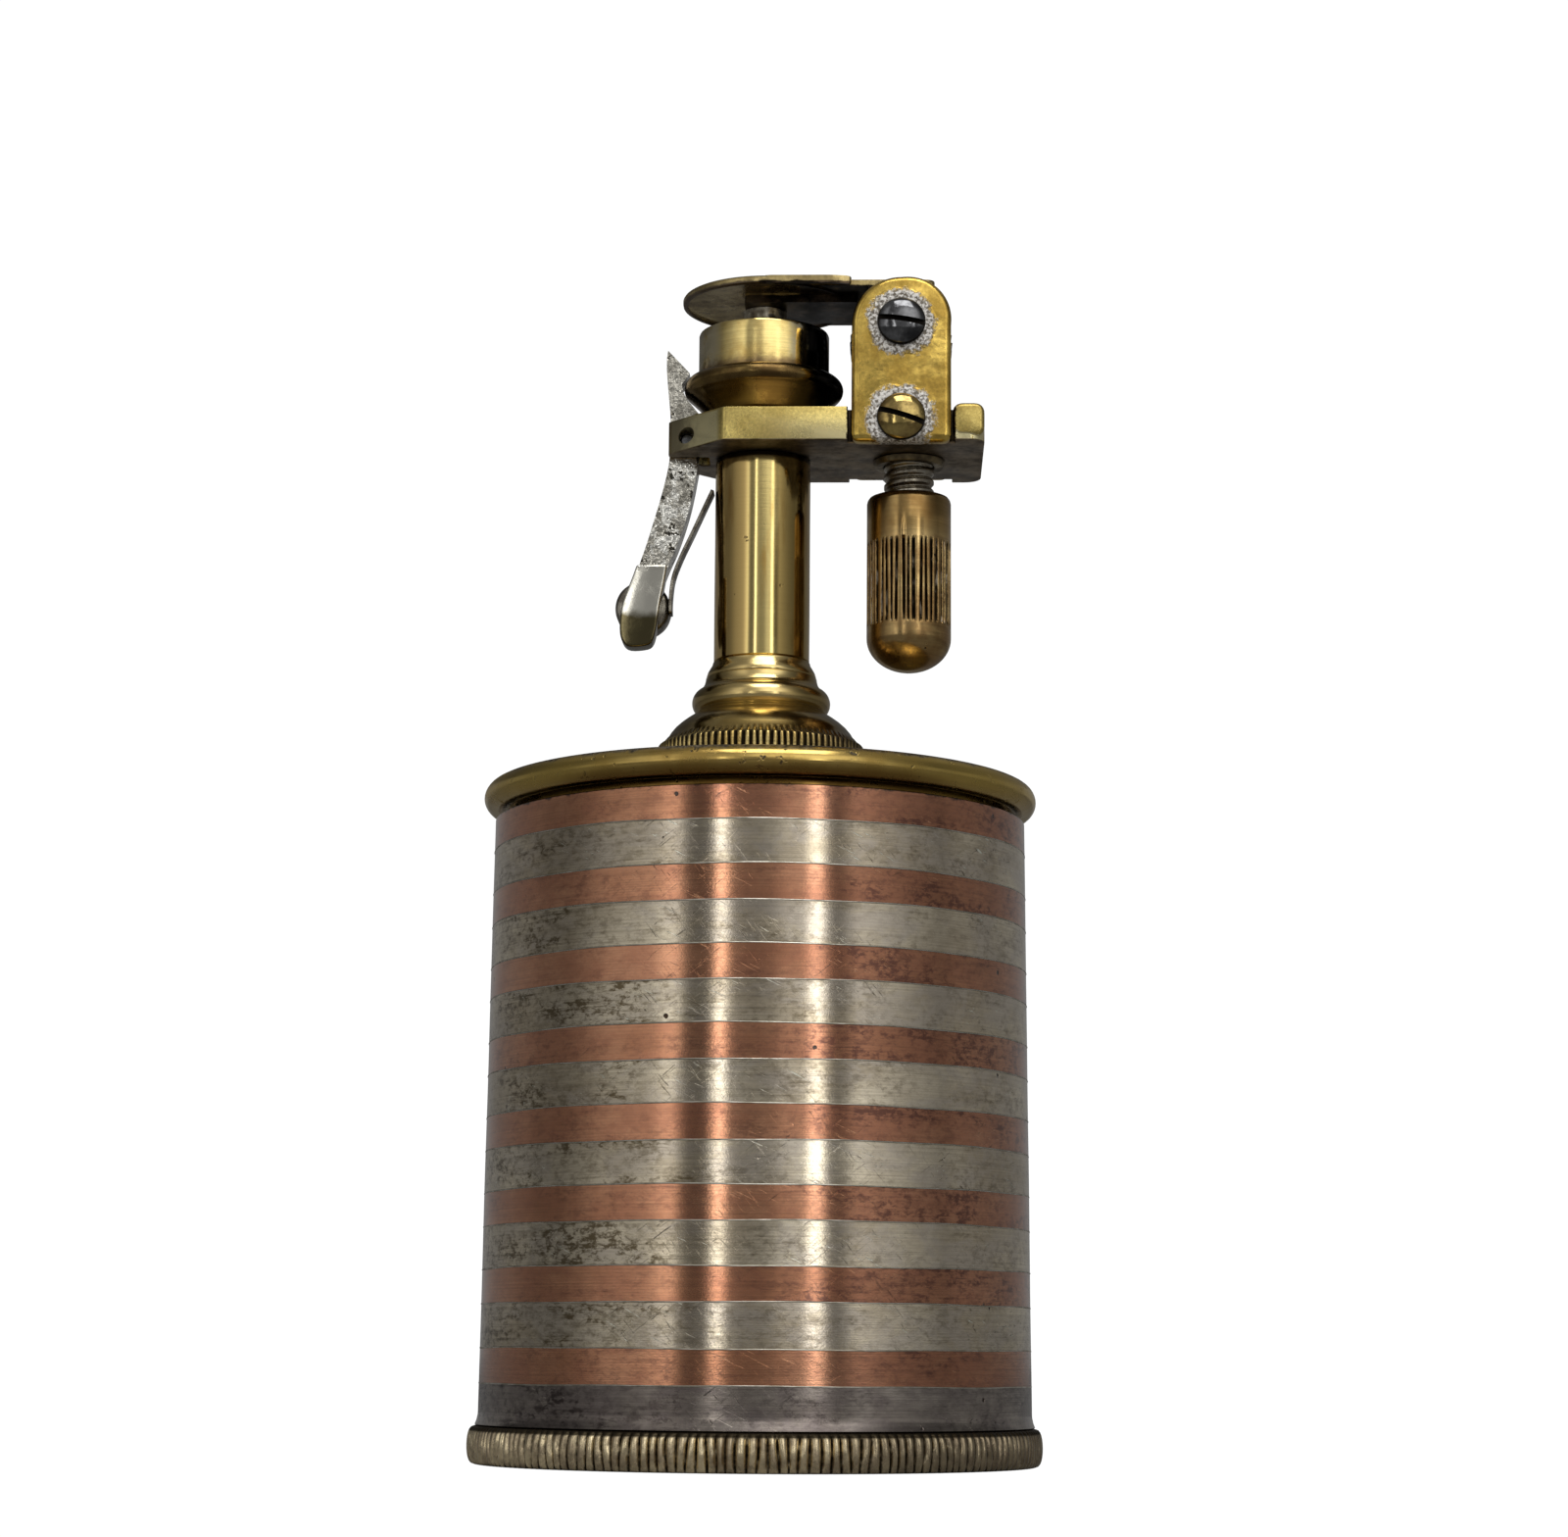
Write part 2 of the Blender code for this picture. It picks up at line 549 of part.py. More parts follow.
def make_ratchet():
    """A ratchet gear: each tooth rises along the rim and drops straight back."""
    outline = []
    for tooth in range(RATCHET_TEETH):
        for turn, step_in in RATCHET_TOOTH:
            angle = 2 * math.pi * (tooth + turn) / RATCHET_TEETH
            reach = RATCHET_RADIUS - step_in
            outline.append((AXLE[0] + reach * math.cos(angle), AXLE[1] + reach * math.sin(angle)))
    bm = extrude(outline, RATCHET_FACES[0], RATCHET_FACES[1], "Y")
    gear = place("ratchet_gear", bm, "steel", (AXLE[0], 0.0, AXLE[1]))
    hole_across(gear, "ratchet_bore_cutter", AXLE, WHEEL_BORE)


def make_pawl():
    """A leaf under the arm whose tip sits in the ratchet's teeth."""
    low, high = RATCHET_FACES
    place("ratchet_pawl", extrude(PAWL, low + 0.1, high - 0.1, "Y"), "spring_steel")


def make_arm_spring():
    """The torsion spring wound around the axle beside the ratchet."""
    radius, wire, turns, low, high = ARM_SPRING
    per_turn = 14
    steps = int(turns * per_turn)
    path = []
    for step in range(steps + 1):
        angle = 2 * math.pi * step / per_turn
        across = low + (high - low) * step / steps
        path.append((AXLE[0] + radius * math.cos(angle), across, AXLE[1] + radius * math.sin(angle)))
    place("arm_spring", tube_along(path, wire, 6), "spring_steel", (AXLE[0], 0.0, AXLE[1]))


def make_flint_parts():
    outer, bore, low, high = FLINT_TUBE
    at_flint = (FLINT_X, 0.0)
    tube = [(bore, low), (outer, low), (outer, high), (bore, high)]
    turned("flint_tube", tube, "steel", at_flint, 24)
    inner = outer + SEAM
    high = PLATFORM_BOTTOM - SEAM
    lower_radius, upper_radius, height = COLLAR
    collar = [(inner, high - height), (lower_radius, high - height), (upper_radius, high), (inner, high)]
    turned("flint_tube_collar", collar, "dark_steel", at_flint, 24)
    low, high = FLINT_SPAN
    flint = [(0.0, low), (FLINT_RADIUS, low), (FLINT_RADIUS, high), (0.0, high)]
    turned("flint", flint, "flint", at_flint, 16)
    make_flint_spring()
    make_flint_cap()
    low = FLINT_CAP_BORE_END + SEAM
    plunger = [(0.0, low), (PLUNGER_RADIUS, low), (PLUNGER_RADIUS, PLUNGER_TOP), (0.0, PLUNGER_TOP)]
    turned("spring_plunger", plunger, "brass", at_flint, 16)


def make_flint_spring():
    radius, wire, turns = FLINT_SPRING
    per_turn = 10
    low = PLUNGER_TOP + wire + 0.1
    high = FLINT_SPAN[0] - wire - 0.1
    steps = int(turns * per_turn)
    path = []
    for step in range(steps + 1):
        angle = 2 * math.pi * step / per_turn
        rise = low + (high - low) * step / steps
        path.append((FLINT_X + radius * math.cos(angle), radius * math.sin(angle), rise))
    place("flint_spring", tube_along(path, wire, 5), "spring_steel", (FLINT_X, 0.0, low))


def make_flint_cap():
    """A knurled cap with a round end, threaded inside for the flint tube."""
    start = FLINT_CAP_BOTTOM + FLINT_CAP_DOME
    dome = []
    for radius, z in arc((0.0, 0.0), 1.0, -80.0, 0.0, 6):
        dome.append((radius * FLINT_CAP_RADIUS, start + z * FLINT_CAP_DOME))
    grooves = [(FLINT_CAP_RADIUS, z) for z in GROOVE_HEIGHTS]
    shoulder = [(FLINT_CAP_RADIUS - 0.02, FLINT_CAP_TOP - 0.7), (FLINT_CAP_RADIUS - 0.36, FLINT_CAP_TOP)]
    bore = FLINT_TUBE[0] + 0.08
    inside = [(bore, FLINT_CAP_TOP), (bore, FLINT_CAP_BORE_END), (0.0, FLINT_CAP_BORE_END)]
    profile = [(0.0, FLINT_CAP_BOTTOM)] + dome + grooves + shoulder + inside
    full_depth = (len(dome) + 2, len(dome) + 3)
    turned("flint_cap", profile, "brass", (FLINT_X, 0.0), 32, full_depth, GROOVE_DEPTH)


def make_snuffer_arm():
    """The stamped disc and arm, with a strap under them and two cheeks bent down to the axle."""
    inner = DISC_RADIUS - RIM_WALL
    under = [(0.0, DISC_UNDERSIDE), (inner, DISC_UNDERSIDE), (inner, DISC_RIM_BOTTOM)]
    rim = [(DISC_RADIUS, DISC_RIM_BOTTOM), (DISC_RADIUS, DISC_TOP - 0.1), (DISC_RADIUS - 0.15, DISC_TOP)]
    bm = lathe(under + rim + [(0.0, DISC_TOP)])
    bmesh.ops.translate(bm, verts=bm.verts, vec=(DISC_CENTRE[0], DISC_CENTRE[1], 0.0))
    arm = place("snuffer_arm", bm, "dark_brass")
    boolean(arm, helper("near_edge_shape", extrude(NEAR_EDGE, DISC_RIM_BOTTOM + 0.03, DISC_TOP - 0.02, "Z")), "UNION")
    low = DISC_UNDERSIDE - ARM_EDGE_STEP
    flat = box((3.0, -ARM_HALF_WIDTH, low), (ARM_TAIL, ARM_HALF_WIDTH, DISC_TOP - 0.04))
    boolean(arm, helper("arm_shape", flat), "UNION")
    left, right, half_width, bottom = UNDER_STRAP
    strap = box((left, -half_width, bottom), (right, half_width, DISC_UNDERSIDE + 0.15))
    boolean(arm, helper("strap_shape", strap), "UNION")
    for side in (-1, 1):
        root = DISC_UNDERSIDE + 0.1
        around = arc(AXLE, CHEEK_RADIUS, 200.0, 340.0, 9)
        outline = [(CHEEK_ROOT[0], root)] + around + [(CHEEK_ROOT[1], root)]
        near, far = sorted((side * CHEEK_FACES[0], side * CHEEK_FACES[1]))
        boolean(arm, helper(f"cheek_shape_{side}", extrude(outline, near, far, "Y")), "UNION")
    left, right, near, far = WHEEL_WINDOW
    window = box((left, near, bottom - 1.0), (right, far, DISC_TOP + 1.0))
    boolean(arm, helper("wheel_window_cutter", window))
    hole_across(arm, "arm_axle_cutter", AXLE, HOLE_RADIUS + 0.03)


def make_snuffer_cup():
    radius, low, high = BOSS
    turned("snuffer_boss", [(0.0, low), (radius, low), (radius, high), (0.0, high)], "steel", steps=24)
    low, high = CUP_SPAN
    ceiling = high - CUP_ROOF
    wall = [(CUP_INNER, ceiling), (CUP_INNER, low), (CUP_RADIUS, low), (CUP_RADIUS, high - 0.15)]
    bm = lathe([(0.0, ceiling)] + wall + [(CUP_RADIUS - 0.15, high), (0.0, high)])
    place("snuffer_cup", bm, "brass", (0.0, 0.0, low))
    roll = arc(FLANGE_ROLL_CENTRE, FLANGE_ROLL, -60.0, 95.0, 9)
    bowl = [(FLANGE_MOUTH, FLANGE_BOTTOM), (4.35, FLANGE_BOTTOM), (4.9, 83.0)]
    inner = [(CUP_INNER, roll[-1][1]), (CUP_INNER, FLANGE_THROAT), (FLANGE_MOUTH, FLANGE_BOTTOM + 0.4)]
    turned("snuffer_flange", bowl + roll + inner, "brass")


def lever_outline():
    """The lever from its pointed tip down the inner side, round the thumb end and up the outer side."""
    catch = [(-7.69, 87.9), (-5.95, 86.05), (-6.05, 85.78), (-6.55, 85.1), (-6.45, 84.45)]
    throat = [(-6.05, 83.75), (-5.45, 83.0), (-4.95, 82.3), (-4.68, 81.5), (-4.72, 80.0)]
    inner = [(-5.1, 78.8), (-5.3, 77.6), (-5.75, 75.2), (-6.3, 73.2), (-6.85, 71.6), (-7.4, 70.3), (-7.78, 69.3)]
    foot = [(-10.1, 69.3)]
    outer = [(-9.85, 70.0), (-9.25, 71.8), (-8.55, 74.2), (-7.95, 76.4), (-7.5, 78.6), (-7.4, 80.6)]
    back = [(-7.42, 82.2), (-7.56, 83.8), (-7.76, 86.0), (-7.78, 87.3)]
    return catch + throat + inner + foot + outer + back


def make_lever():
    bm = extrude(lever_outline(), -LEVER_HALF_WIDTH, LEVER_HALF_WIDTH, "Y")
    pivot = (LEVER_PIVOT[0], 0.0, LEVER_PIVOT[1])
    lever = place("trigger_lever", bm, "bright_nickel", pivot)
    boolean(lever, helper("thumb_shape", extrude(THUMB, THUMB_FACES[0], THUMB_FACES[1], "Y")), "UNION")
    hole_across(lever, "lever_bore_cutter", LEVER_PIVOT, PIN_RADIUS + SEAM)
    length = PIN_HALF_LENGTH
    pin = [(0.0, -length), (PIN_RADIUS, -length), (PIN_RADIUS, length), (0.0, length)]
    turned_across("lever_pin", pin, "steel", LEVER_PIVOT, steps=16)


def make_thumb_roll():
    low, high = ROLL_FACES
    inner = ROLL_RADIUS - ROLL_EDGE
    side = [(inner, low), (ROLL_RADIUS, low + ROLL_EDGE), (ROLL_RADIUS, high - ROLL_EDGE), (inner, high)]
    profile = [(0.0, low)] + side + [(0.0, high)]
    turned_across("thumb_roll", profile, "steel", ROLL_CENTRE, facing=1)


def make_lever_spring():
    """The leaf that leans from the thumb roll on the stem and holds the catch shut."""
    outer = []
    for index, (x, z) in enumerate(SPRING_LINE):
        before = SPRING_LINE[max(index - 1, 0)]
        after = SPRING_LINE[min(index + 1, len(SPRING_LINE) - 1)]
        forward = Vector((after[0] - before[0], after[1] - before[1])).normalized()
        outer.append((x + forward.y * SPRING_THICKNESS, z - forward.x * SPRING_THICKNESS))
    outline = SPRING_LINE + list(reversed(outer))
    place("lever_spring", extrude(outline, -SPRING_HALF_WIDTH, SPRING_HALF_WIDTH, "Y"), "spring_steel")


def main():
    clear_scene()
    make_base()
    make_tank()
    make_cover()
    make_filling()
    make_stem_foot()
    make_stem_tube()
    make_wick_tube()
    make_platform()
    make_ears()
    make_wheel()
    make_ratchet()
    make_pawl()
    make_arm_spring()
    make_flint_parts()
    make_snuffer_arm()
    make_snuffer_cup()
    make_lever()
    make_thumb_roll()
    make_lever_spring()


main()
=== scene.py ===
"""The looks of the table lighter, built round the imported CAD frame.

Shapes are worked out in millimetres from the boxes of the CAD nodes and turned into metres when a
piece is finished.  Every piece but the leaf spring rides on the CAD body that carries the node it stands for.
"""

import json
import math

import bmesh
import bpy
from mathutils import Matrix, Vector, noise


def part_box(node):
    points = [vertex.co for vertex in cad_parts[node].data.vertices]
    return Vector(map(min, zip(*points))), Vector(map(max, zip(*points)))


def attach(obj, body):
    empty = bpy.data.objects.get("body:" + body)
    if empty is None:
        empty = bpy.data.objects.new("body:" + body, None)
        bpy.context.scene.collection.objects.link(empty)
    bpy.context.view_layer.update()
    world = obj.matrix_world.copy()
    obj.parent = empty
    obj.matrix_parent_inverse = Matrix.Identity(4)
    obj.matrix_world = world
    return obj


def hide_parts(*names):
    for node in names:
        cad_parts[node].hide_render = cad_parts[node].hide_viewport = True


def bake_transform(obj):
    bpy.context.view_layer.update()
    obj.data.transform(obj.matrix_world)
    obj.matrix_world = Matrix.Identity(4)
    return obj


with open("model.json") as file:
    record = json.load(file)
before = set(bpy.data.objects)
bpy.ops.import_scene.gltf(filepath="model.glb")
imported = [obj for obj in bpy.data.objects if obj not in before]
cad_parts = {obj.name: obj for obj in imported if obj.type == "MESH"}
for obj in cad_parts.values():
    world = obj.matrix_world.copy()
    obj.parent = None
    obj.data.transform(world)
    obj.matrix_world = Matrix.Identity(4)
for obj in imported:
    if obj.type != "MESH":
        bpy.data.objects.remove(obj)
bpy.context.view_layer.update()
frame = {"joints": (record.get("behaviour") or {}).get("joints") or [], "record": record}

MM = 0.001

# Camera: where it stands round the axis in millimetres, how it is turned, and how long its lens is.
CAMERA_DISTANCE = 268.27
CAMERA_HEIGHT = 8.38
CAMERA_YAW = math.radians(2.2)
CAMERA_PAN = 0.0069
CAMERA_PITCH = 0.1685
CAMERA_ROLL = 0.0075
LENS_PER_WIDTH = 3509.18 / 1600
SENSOR_WIDTH = 36.0

BODY_OF = {node: body for body, nodes in frame["record"]["behaviour"]["bodies"].items() for node in nodes}


# ---------------------------------------------------------------- helpers: places and shapes


def box(node):
    """The lowest and highest corner of a CAD node, in millimetres."""
    low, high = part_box(node)
    return low / MM, high / MM


def pivot_of(joint_name):
    """The joint's point in millimetres, from the record."""
    return next(Vector(joint["pos_m"]) / MM for joint in frame["joints"] if joint["name"] == joint_name)


AXLE = pivot_of("snuffer_hinge")
AXLE_SPOT = (AXLE.x, AXLE.z)
LEVER_PIN = pivot_of("trigger_pivot")
LEVER_PIN_SPOT = (LEVER_PIN.x, LEVER_PIN.z)
FLINT_AXIS = pivot_of("flint_cap_turn")
LOWER_SCREW = (box("front_ear_screw")[0] + box("front_ear_screw")[1]) / 2
SCREW_CENTRES = (AXLE_SPOT, (AXLE.x, LOWER_SCREW.z))
SCREW_REACH = 1.9
DISC_FLAT = 92.1  # the height of the disc's underside


def arc(centre, radius, start, end, count):
    """Points on an arc from start to end degrees, counted anticlockwise."""
    points = []
    for index in range(count):
        angle = math.radians(start + (end - start) * index / (count - 1))
        points.append((centre[0] + radius * math.cos(angle), centre[1] + radius * math.sin(angle)))
    return points


def rectangle(left, bottom, right, top):
    return [(left, bottom), (right, bottom), (right, top), (left, top)]


def rows_between(low, high, count):
    """count + 1 heights from low to high, both included."""
    return [low + (high - low) * step / count for step in range(count + 1)]


NEARLY_STRAIGHT = math.radians(172)


def softened(points, radius, steps=3, keep=()):
    """The closed outline with each corner cut round.  Corners listed in keep stay sharp."""
    result = []
    for index, point in enumerate(points):
        here = Vector(point)
        to_before = Vector(points[index - 1]) - here
        to_after = Vector(points[(index + 1) % len(points)]) - here
        if index in keep or to_before.angle(to_after, math.pi) > NEARLY_STRAIGHT:
            result.append(tuple(point))
            continue
        reach = min(radius, to_before.length * 0.45, to_after.length * 0.45)
        start = here + to_before.normalized() * reach
        end = here + to_after.normalized() * reach
        for step in range(steps + 1):
            share = step / steps
            bezier = start * (1 - share) ** 2 + here * 2 * share * (1 - share) + end * share**2
            result.append(tuple(bezier))
    return result


def curve_through(points, per_span):
    """A smooth Catmull-Rom curve through the points."""
    last = len(points) - 1
    result = []
    for span in range(last):
        p0, p1, p2, p3 = (Vector(points[min(max(span + k, 0), last)]) for k in (-1, 0, 1, 2))
        for step in range(per_span):
            t = step / per_span
            bend = (2 * p0 - 5 * p1 + 4 * p2 - p3) * t * t + (3 * p1 - p0 - 3 * p2 + p3) * t**3
            result.append(tuple(0.5 * (2 * p1 + (p2 - p0) * t + bend)))
    return result + [tuple(points[-1])]


def turns(angle, z, count, waves):
    """How many grooves of a knurl lie before an angle; waves are (amplitude, frequency, rise) wobbles."""
    wobble = sum(amplitude * math.sin(angle * frequency + z * rise) for amplitude, frequency, rise in waves)
    return angle * count / (2 * math.pi) + wobble


def groove_depth(turn, sharpness):
    """1 in the middle of a groove, 0 on the land beside it."""
    return (0.5 + 0.5 * math.cos(2 * math.pi * turn)) ** sharpness


def lathe(profile, steps, shape=None):
    """Turns (radius, z) points about Z.  shape(radius, z, angle, index) may change a point's radius."""
    bm = bmesh.new()
    rings = []
    for index, (radius, z) in enumerate(profile):
        if radius < 1e-6:
            rings.append([bm.verts.new((0.0, 0.0, z))])
            continue
        ring = []
        for step in range(steps):
            angle = 2 * math.pi * step / steps
            reach = shape(radius, z, angle, index) if shape else radius
            ring.append(bm.verts.new((reach * math.cos(angle), reach * math.sin(angle), z)))
        rings.append(ring)
    following = rings[1:] if len(rings[0]) == 1 else rings[1:] + rings[:1]
    for low, high in zip(rings, following):
        for step in range(steps):
            corners = [low[step % len(low)], low[(step + 1) % steps % len(low)]]
            corners += [high[(step + 1) % steps % len(high)], high[step % len(high)]]
            bm.faces.new(list(dict.fromkeys(corners)))
    return bm


def skinned(bm, rings, capped=True):
    """Joins rings of equally many points into a skin, with a cap at both ends."""
    for near, far in zip(rings, rings[1:]):
        for index in range(len(near)):
            following = (index + 1) % len(near)
            bm.faces.new((near[index], near[following], far[following], far[index]))
    if capped:
        bm.faces.new(rings[0])
        bm.faces.new(rings[-1])
    return bm


def prism(outline, low, high, along="Y"):
    """A prism of an outline: along "Y" it holds (x, z) points, along "Z" (x, y) points."""
    bm = bmesh.new()
    ends = []
    for depth in (low, high):
        points = [(a, depth, b) if along == "Y" else (a, b, depth) for a, b in outline]
        ends.append([bm.verts.new(point) for point in points])
    skinned(bm, ends)
    bmesh.ops.recalc_face_normals(bm, faces=bm.faces)
    return bm


def rod(centre, radius, low, high, along="Y", sides=30):
    """A round bar, to bore holes with."""
    return prism(arc(centre, radius, 0.0, 360.0 - 360.0 / sides, sides), low, high, along)


def block(low, high):
    return prism(rectangle(*low[:2], *high[:2]), low[2], high[2], "Z")


def rounded_plate(outline, low, high, rounding, steps=6):
    """A plate of an anticlockwise, convex (x, z) outline between two depths, with both rims rounded."""
    rim = []
    for step in range(steps + 1):
        angle = math.pi / 2 * step / steps
        rim.append((rounding * (1 - math.sin(angle)), rounding * (1 - math.cos(angle))))
    levels = [(low + depth, inset) for depth, inset in rim[::-1]]
    levels += [(high - depth, inset) for depth, inset in rim]
    bm = bmesh.new()
    rings = []
    for y, inset in levels:
        ring = []
        for index, point in enumerate(outline):
            along = Vector(outline[(index + 1) % len(outline)]) - Vector(outline[index - 1])
            along.normalize()
            ring.append(bm.verts.new((point[0] - along.y * inset, y, point[1] + along.x * inset)))
        rings.append(ring)
    return skinned(bm, rings)


def swept(path, section):
    """Sweeps a closed section of (side, up) offsets along a path, with the side kept near world Y."""
    bm = bmesh.new()
    rings = []
    for index, point in enumerate(path):
        before = Vector(path[max(index - 1, 0)])
        after = Vector(path[min(index + 1, len(path) - 1)])
        forward = (after - before).normalized()
        side = Vector((0.0, 1.0, 0.0))
        side = (side - forward * side.dot(forward)).normalized()
        up = forward.cross(side)
        rings.append([bm.verts.new(Vector(point) + side * a + up * b) for a, b in section])
    return skinned(bm, rings)


def coil(centre, radius, wire, rounds, axis_start, axis_end, axis="Z", per_round=28, sides=10):
    """A round wire wound about an axis along Z or Y."""
    steps = int(rounds * per_round)
    spine = Vector((0.0, 0.0, 1.0)) if axis == "Z" else Vector((0.0, 1.0, 0.0))
    path = []
    for step, along in enumerate(rows_between(axis_start, axis_end, steps)):
        angle = 2 * math.pi * step / per_round
        a, b = radius * math.cos(angle), radius * math.sin(angle)
        path.append(Vector((a, b, along)) if axis == "Z" else Vector((a, along, b)))
    bm = bmesh.new()
    rings = []
    for index, point in enumerate(path):
        forward = (path[min(index + 1, steps)] - path[max(index - 1, 0)]).normalized()
        outward = (point - spine * point.dot(spine)).normalized()
        up = forward.cross(outward).normalized()
        ring = []
        for step in range(sides):
            angle = 2 * math.pi * step / sides
            offset = outward * math.cos(angle) + up * math.sin(angle)
            ring.append(bm.verts.new(point + offset * wire + Vector(centre)))
        rings.append(ring)
    return skinned(bm, rings)


def laid_across(bm, centre_xz, facing):
    """Turns a piece made about Z so that its Z runs along Y, and moves its axis to a place."""
    bmesh.ops.rotate(bm, verts=bm.verts, matrix=Matrix.Rotation(-facing * math.pi / 2, 3, "X"))
    return moved(bm, (centre_xz[0], 0.0, centre_xz[1]))


def moved(bm, offset):
    bmesh.ops.translate(bm, verts=bm.verts, vec=offset)
    return bm


def on_flint_axis(bm):
    return moved(bm, (FLINT_AXIS.x, 0.0, 0.0))


def rounded_edges(bm, width, segments, least_angle):
    """Bevels the edges of a mesh that are sharper than least_angle degrees."""
    bmesh.ops.recalc_face_normals(bm, faces=bm.faces)
    least = math.radians(least_angle)
    sharp = [e for e in bm.edges if len(e.link_faces) == 2 and e.calc_face_angle(0.0) > least]
    bmesh.ops.bevel(
        bm, geom=sharp, offset=width, segments=segments, profile=0.5, affect="EDGES", clamp_overlap=True
    )
    return bm


def uneven(bm, depth, size, seed, keep=None):
    """Moves each point along its normal by smooth noise: hand filing, wear and small dents."""
    bm.normal_update()
    shift = Vector((seed * 17.3, seed * 5.1, seed * 9.7))
    for vert in bm.verts:
        if not (keep and keep(vert.co)):
            vert.co += vert.normal * depth * noise.noise(vert.co / size + shift)
    return bm


def as_object(name, bm):
    bmesh.ops.remove_doubles(bm, verts=bm.verts, dist=1e-5)
    bmesh.ops.recalc_face_normals(bm, faces=bm.faces)
    bmesh.ops.scale(bm, verts=bm.verts, vec=(MM, MM, MM))
    mesh = bpy.data.meshes.new(name)
    bm.to_mesh(mesh)
    bm.free()
    obj = bpy.data.objects.new(name, mesh)
    bpy.context.scene.collection.objects.link(obj)
    return obj


def combined(obj, operation, *tools):
    """Cuts the tool meshes from the object for good ("DIFFERENCE"), or joins them to it ("UNION")."""
    for bm in tools:
        tool = as_object(f"{obj.name}_tool", bm)
        modifier = obj.modifiers.new("tool", "BOOLEAN")
        modifier.operation = operation
        modifier.solver = "EXACT"
        modifier.object = tool
        bpy.context.view_layer.update()
        graph = bpy.context.evaluated_depsgraph_get()
        mesh = bpy.data.meshes.new_from_object(obj.evaluated_get(graph))
        obj.modifiers.clear()
        old = obj.data
        obj.data = mesh
        bpy.data.meshes.remove(old)
        bpy.data.objects.remove(tool, do_unlink=True)


def edge_softening(obj, width, segments=2, angle=30.0):
    """Rounds an object's sharp edges, after its Booleans."""
    modifier = obj.modifiers.new("soft_edges", "BEVEL")
    modifier.width = width * MM
    modifier.segments = segments
    modifier.limit_method = "ANGLE"
    modifier.angle_limit = math.radians(angle)
    modifier.harden_normals = False


def finished(obj, node, look, smooth_angle=40.0, replaces=True):
    """Shades the piece, gives it its material, and puts it on the CAD node's body, mostly in its place."""
    obj.data.shade_smooth()
    obj.data.set_sharp_from_angle(angle=math.radians(smooth_angle))
    obj.data.materials.clear()
    obj.data.materials.append(look)
    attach(obj, BODY_OF[node])
    if replaces:
        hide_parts(node)


def piece(bm, node, look, smooth_angle=40.0):
    """Finishes a mesh as the visible form of a CAD node."""
    finished(as_object(f"{node}_look", bm), node, look, smooth_angle)


# ---------------------------------------------------------------- helpers: materials


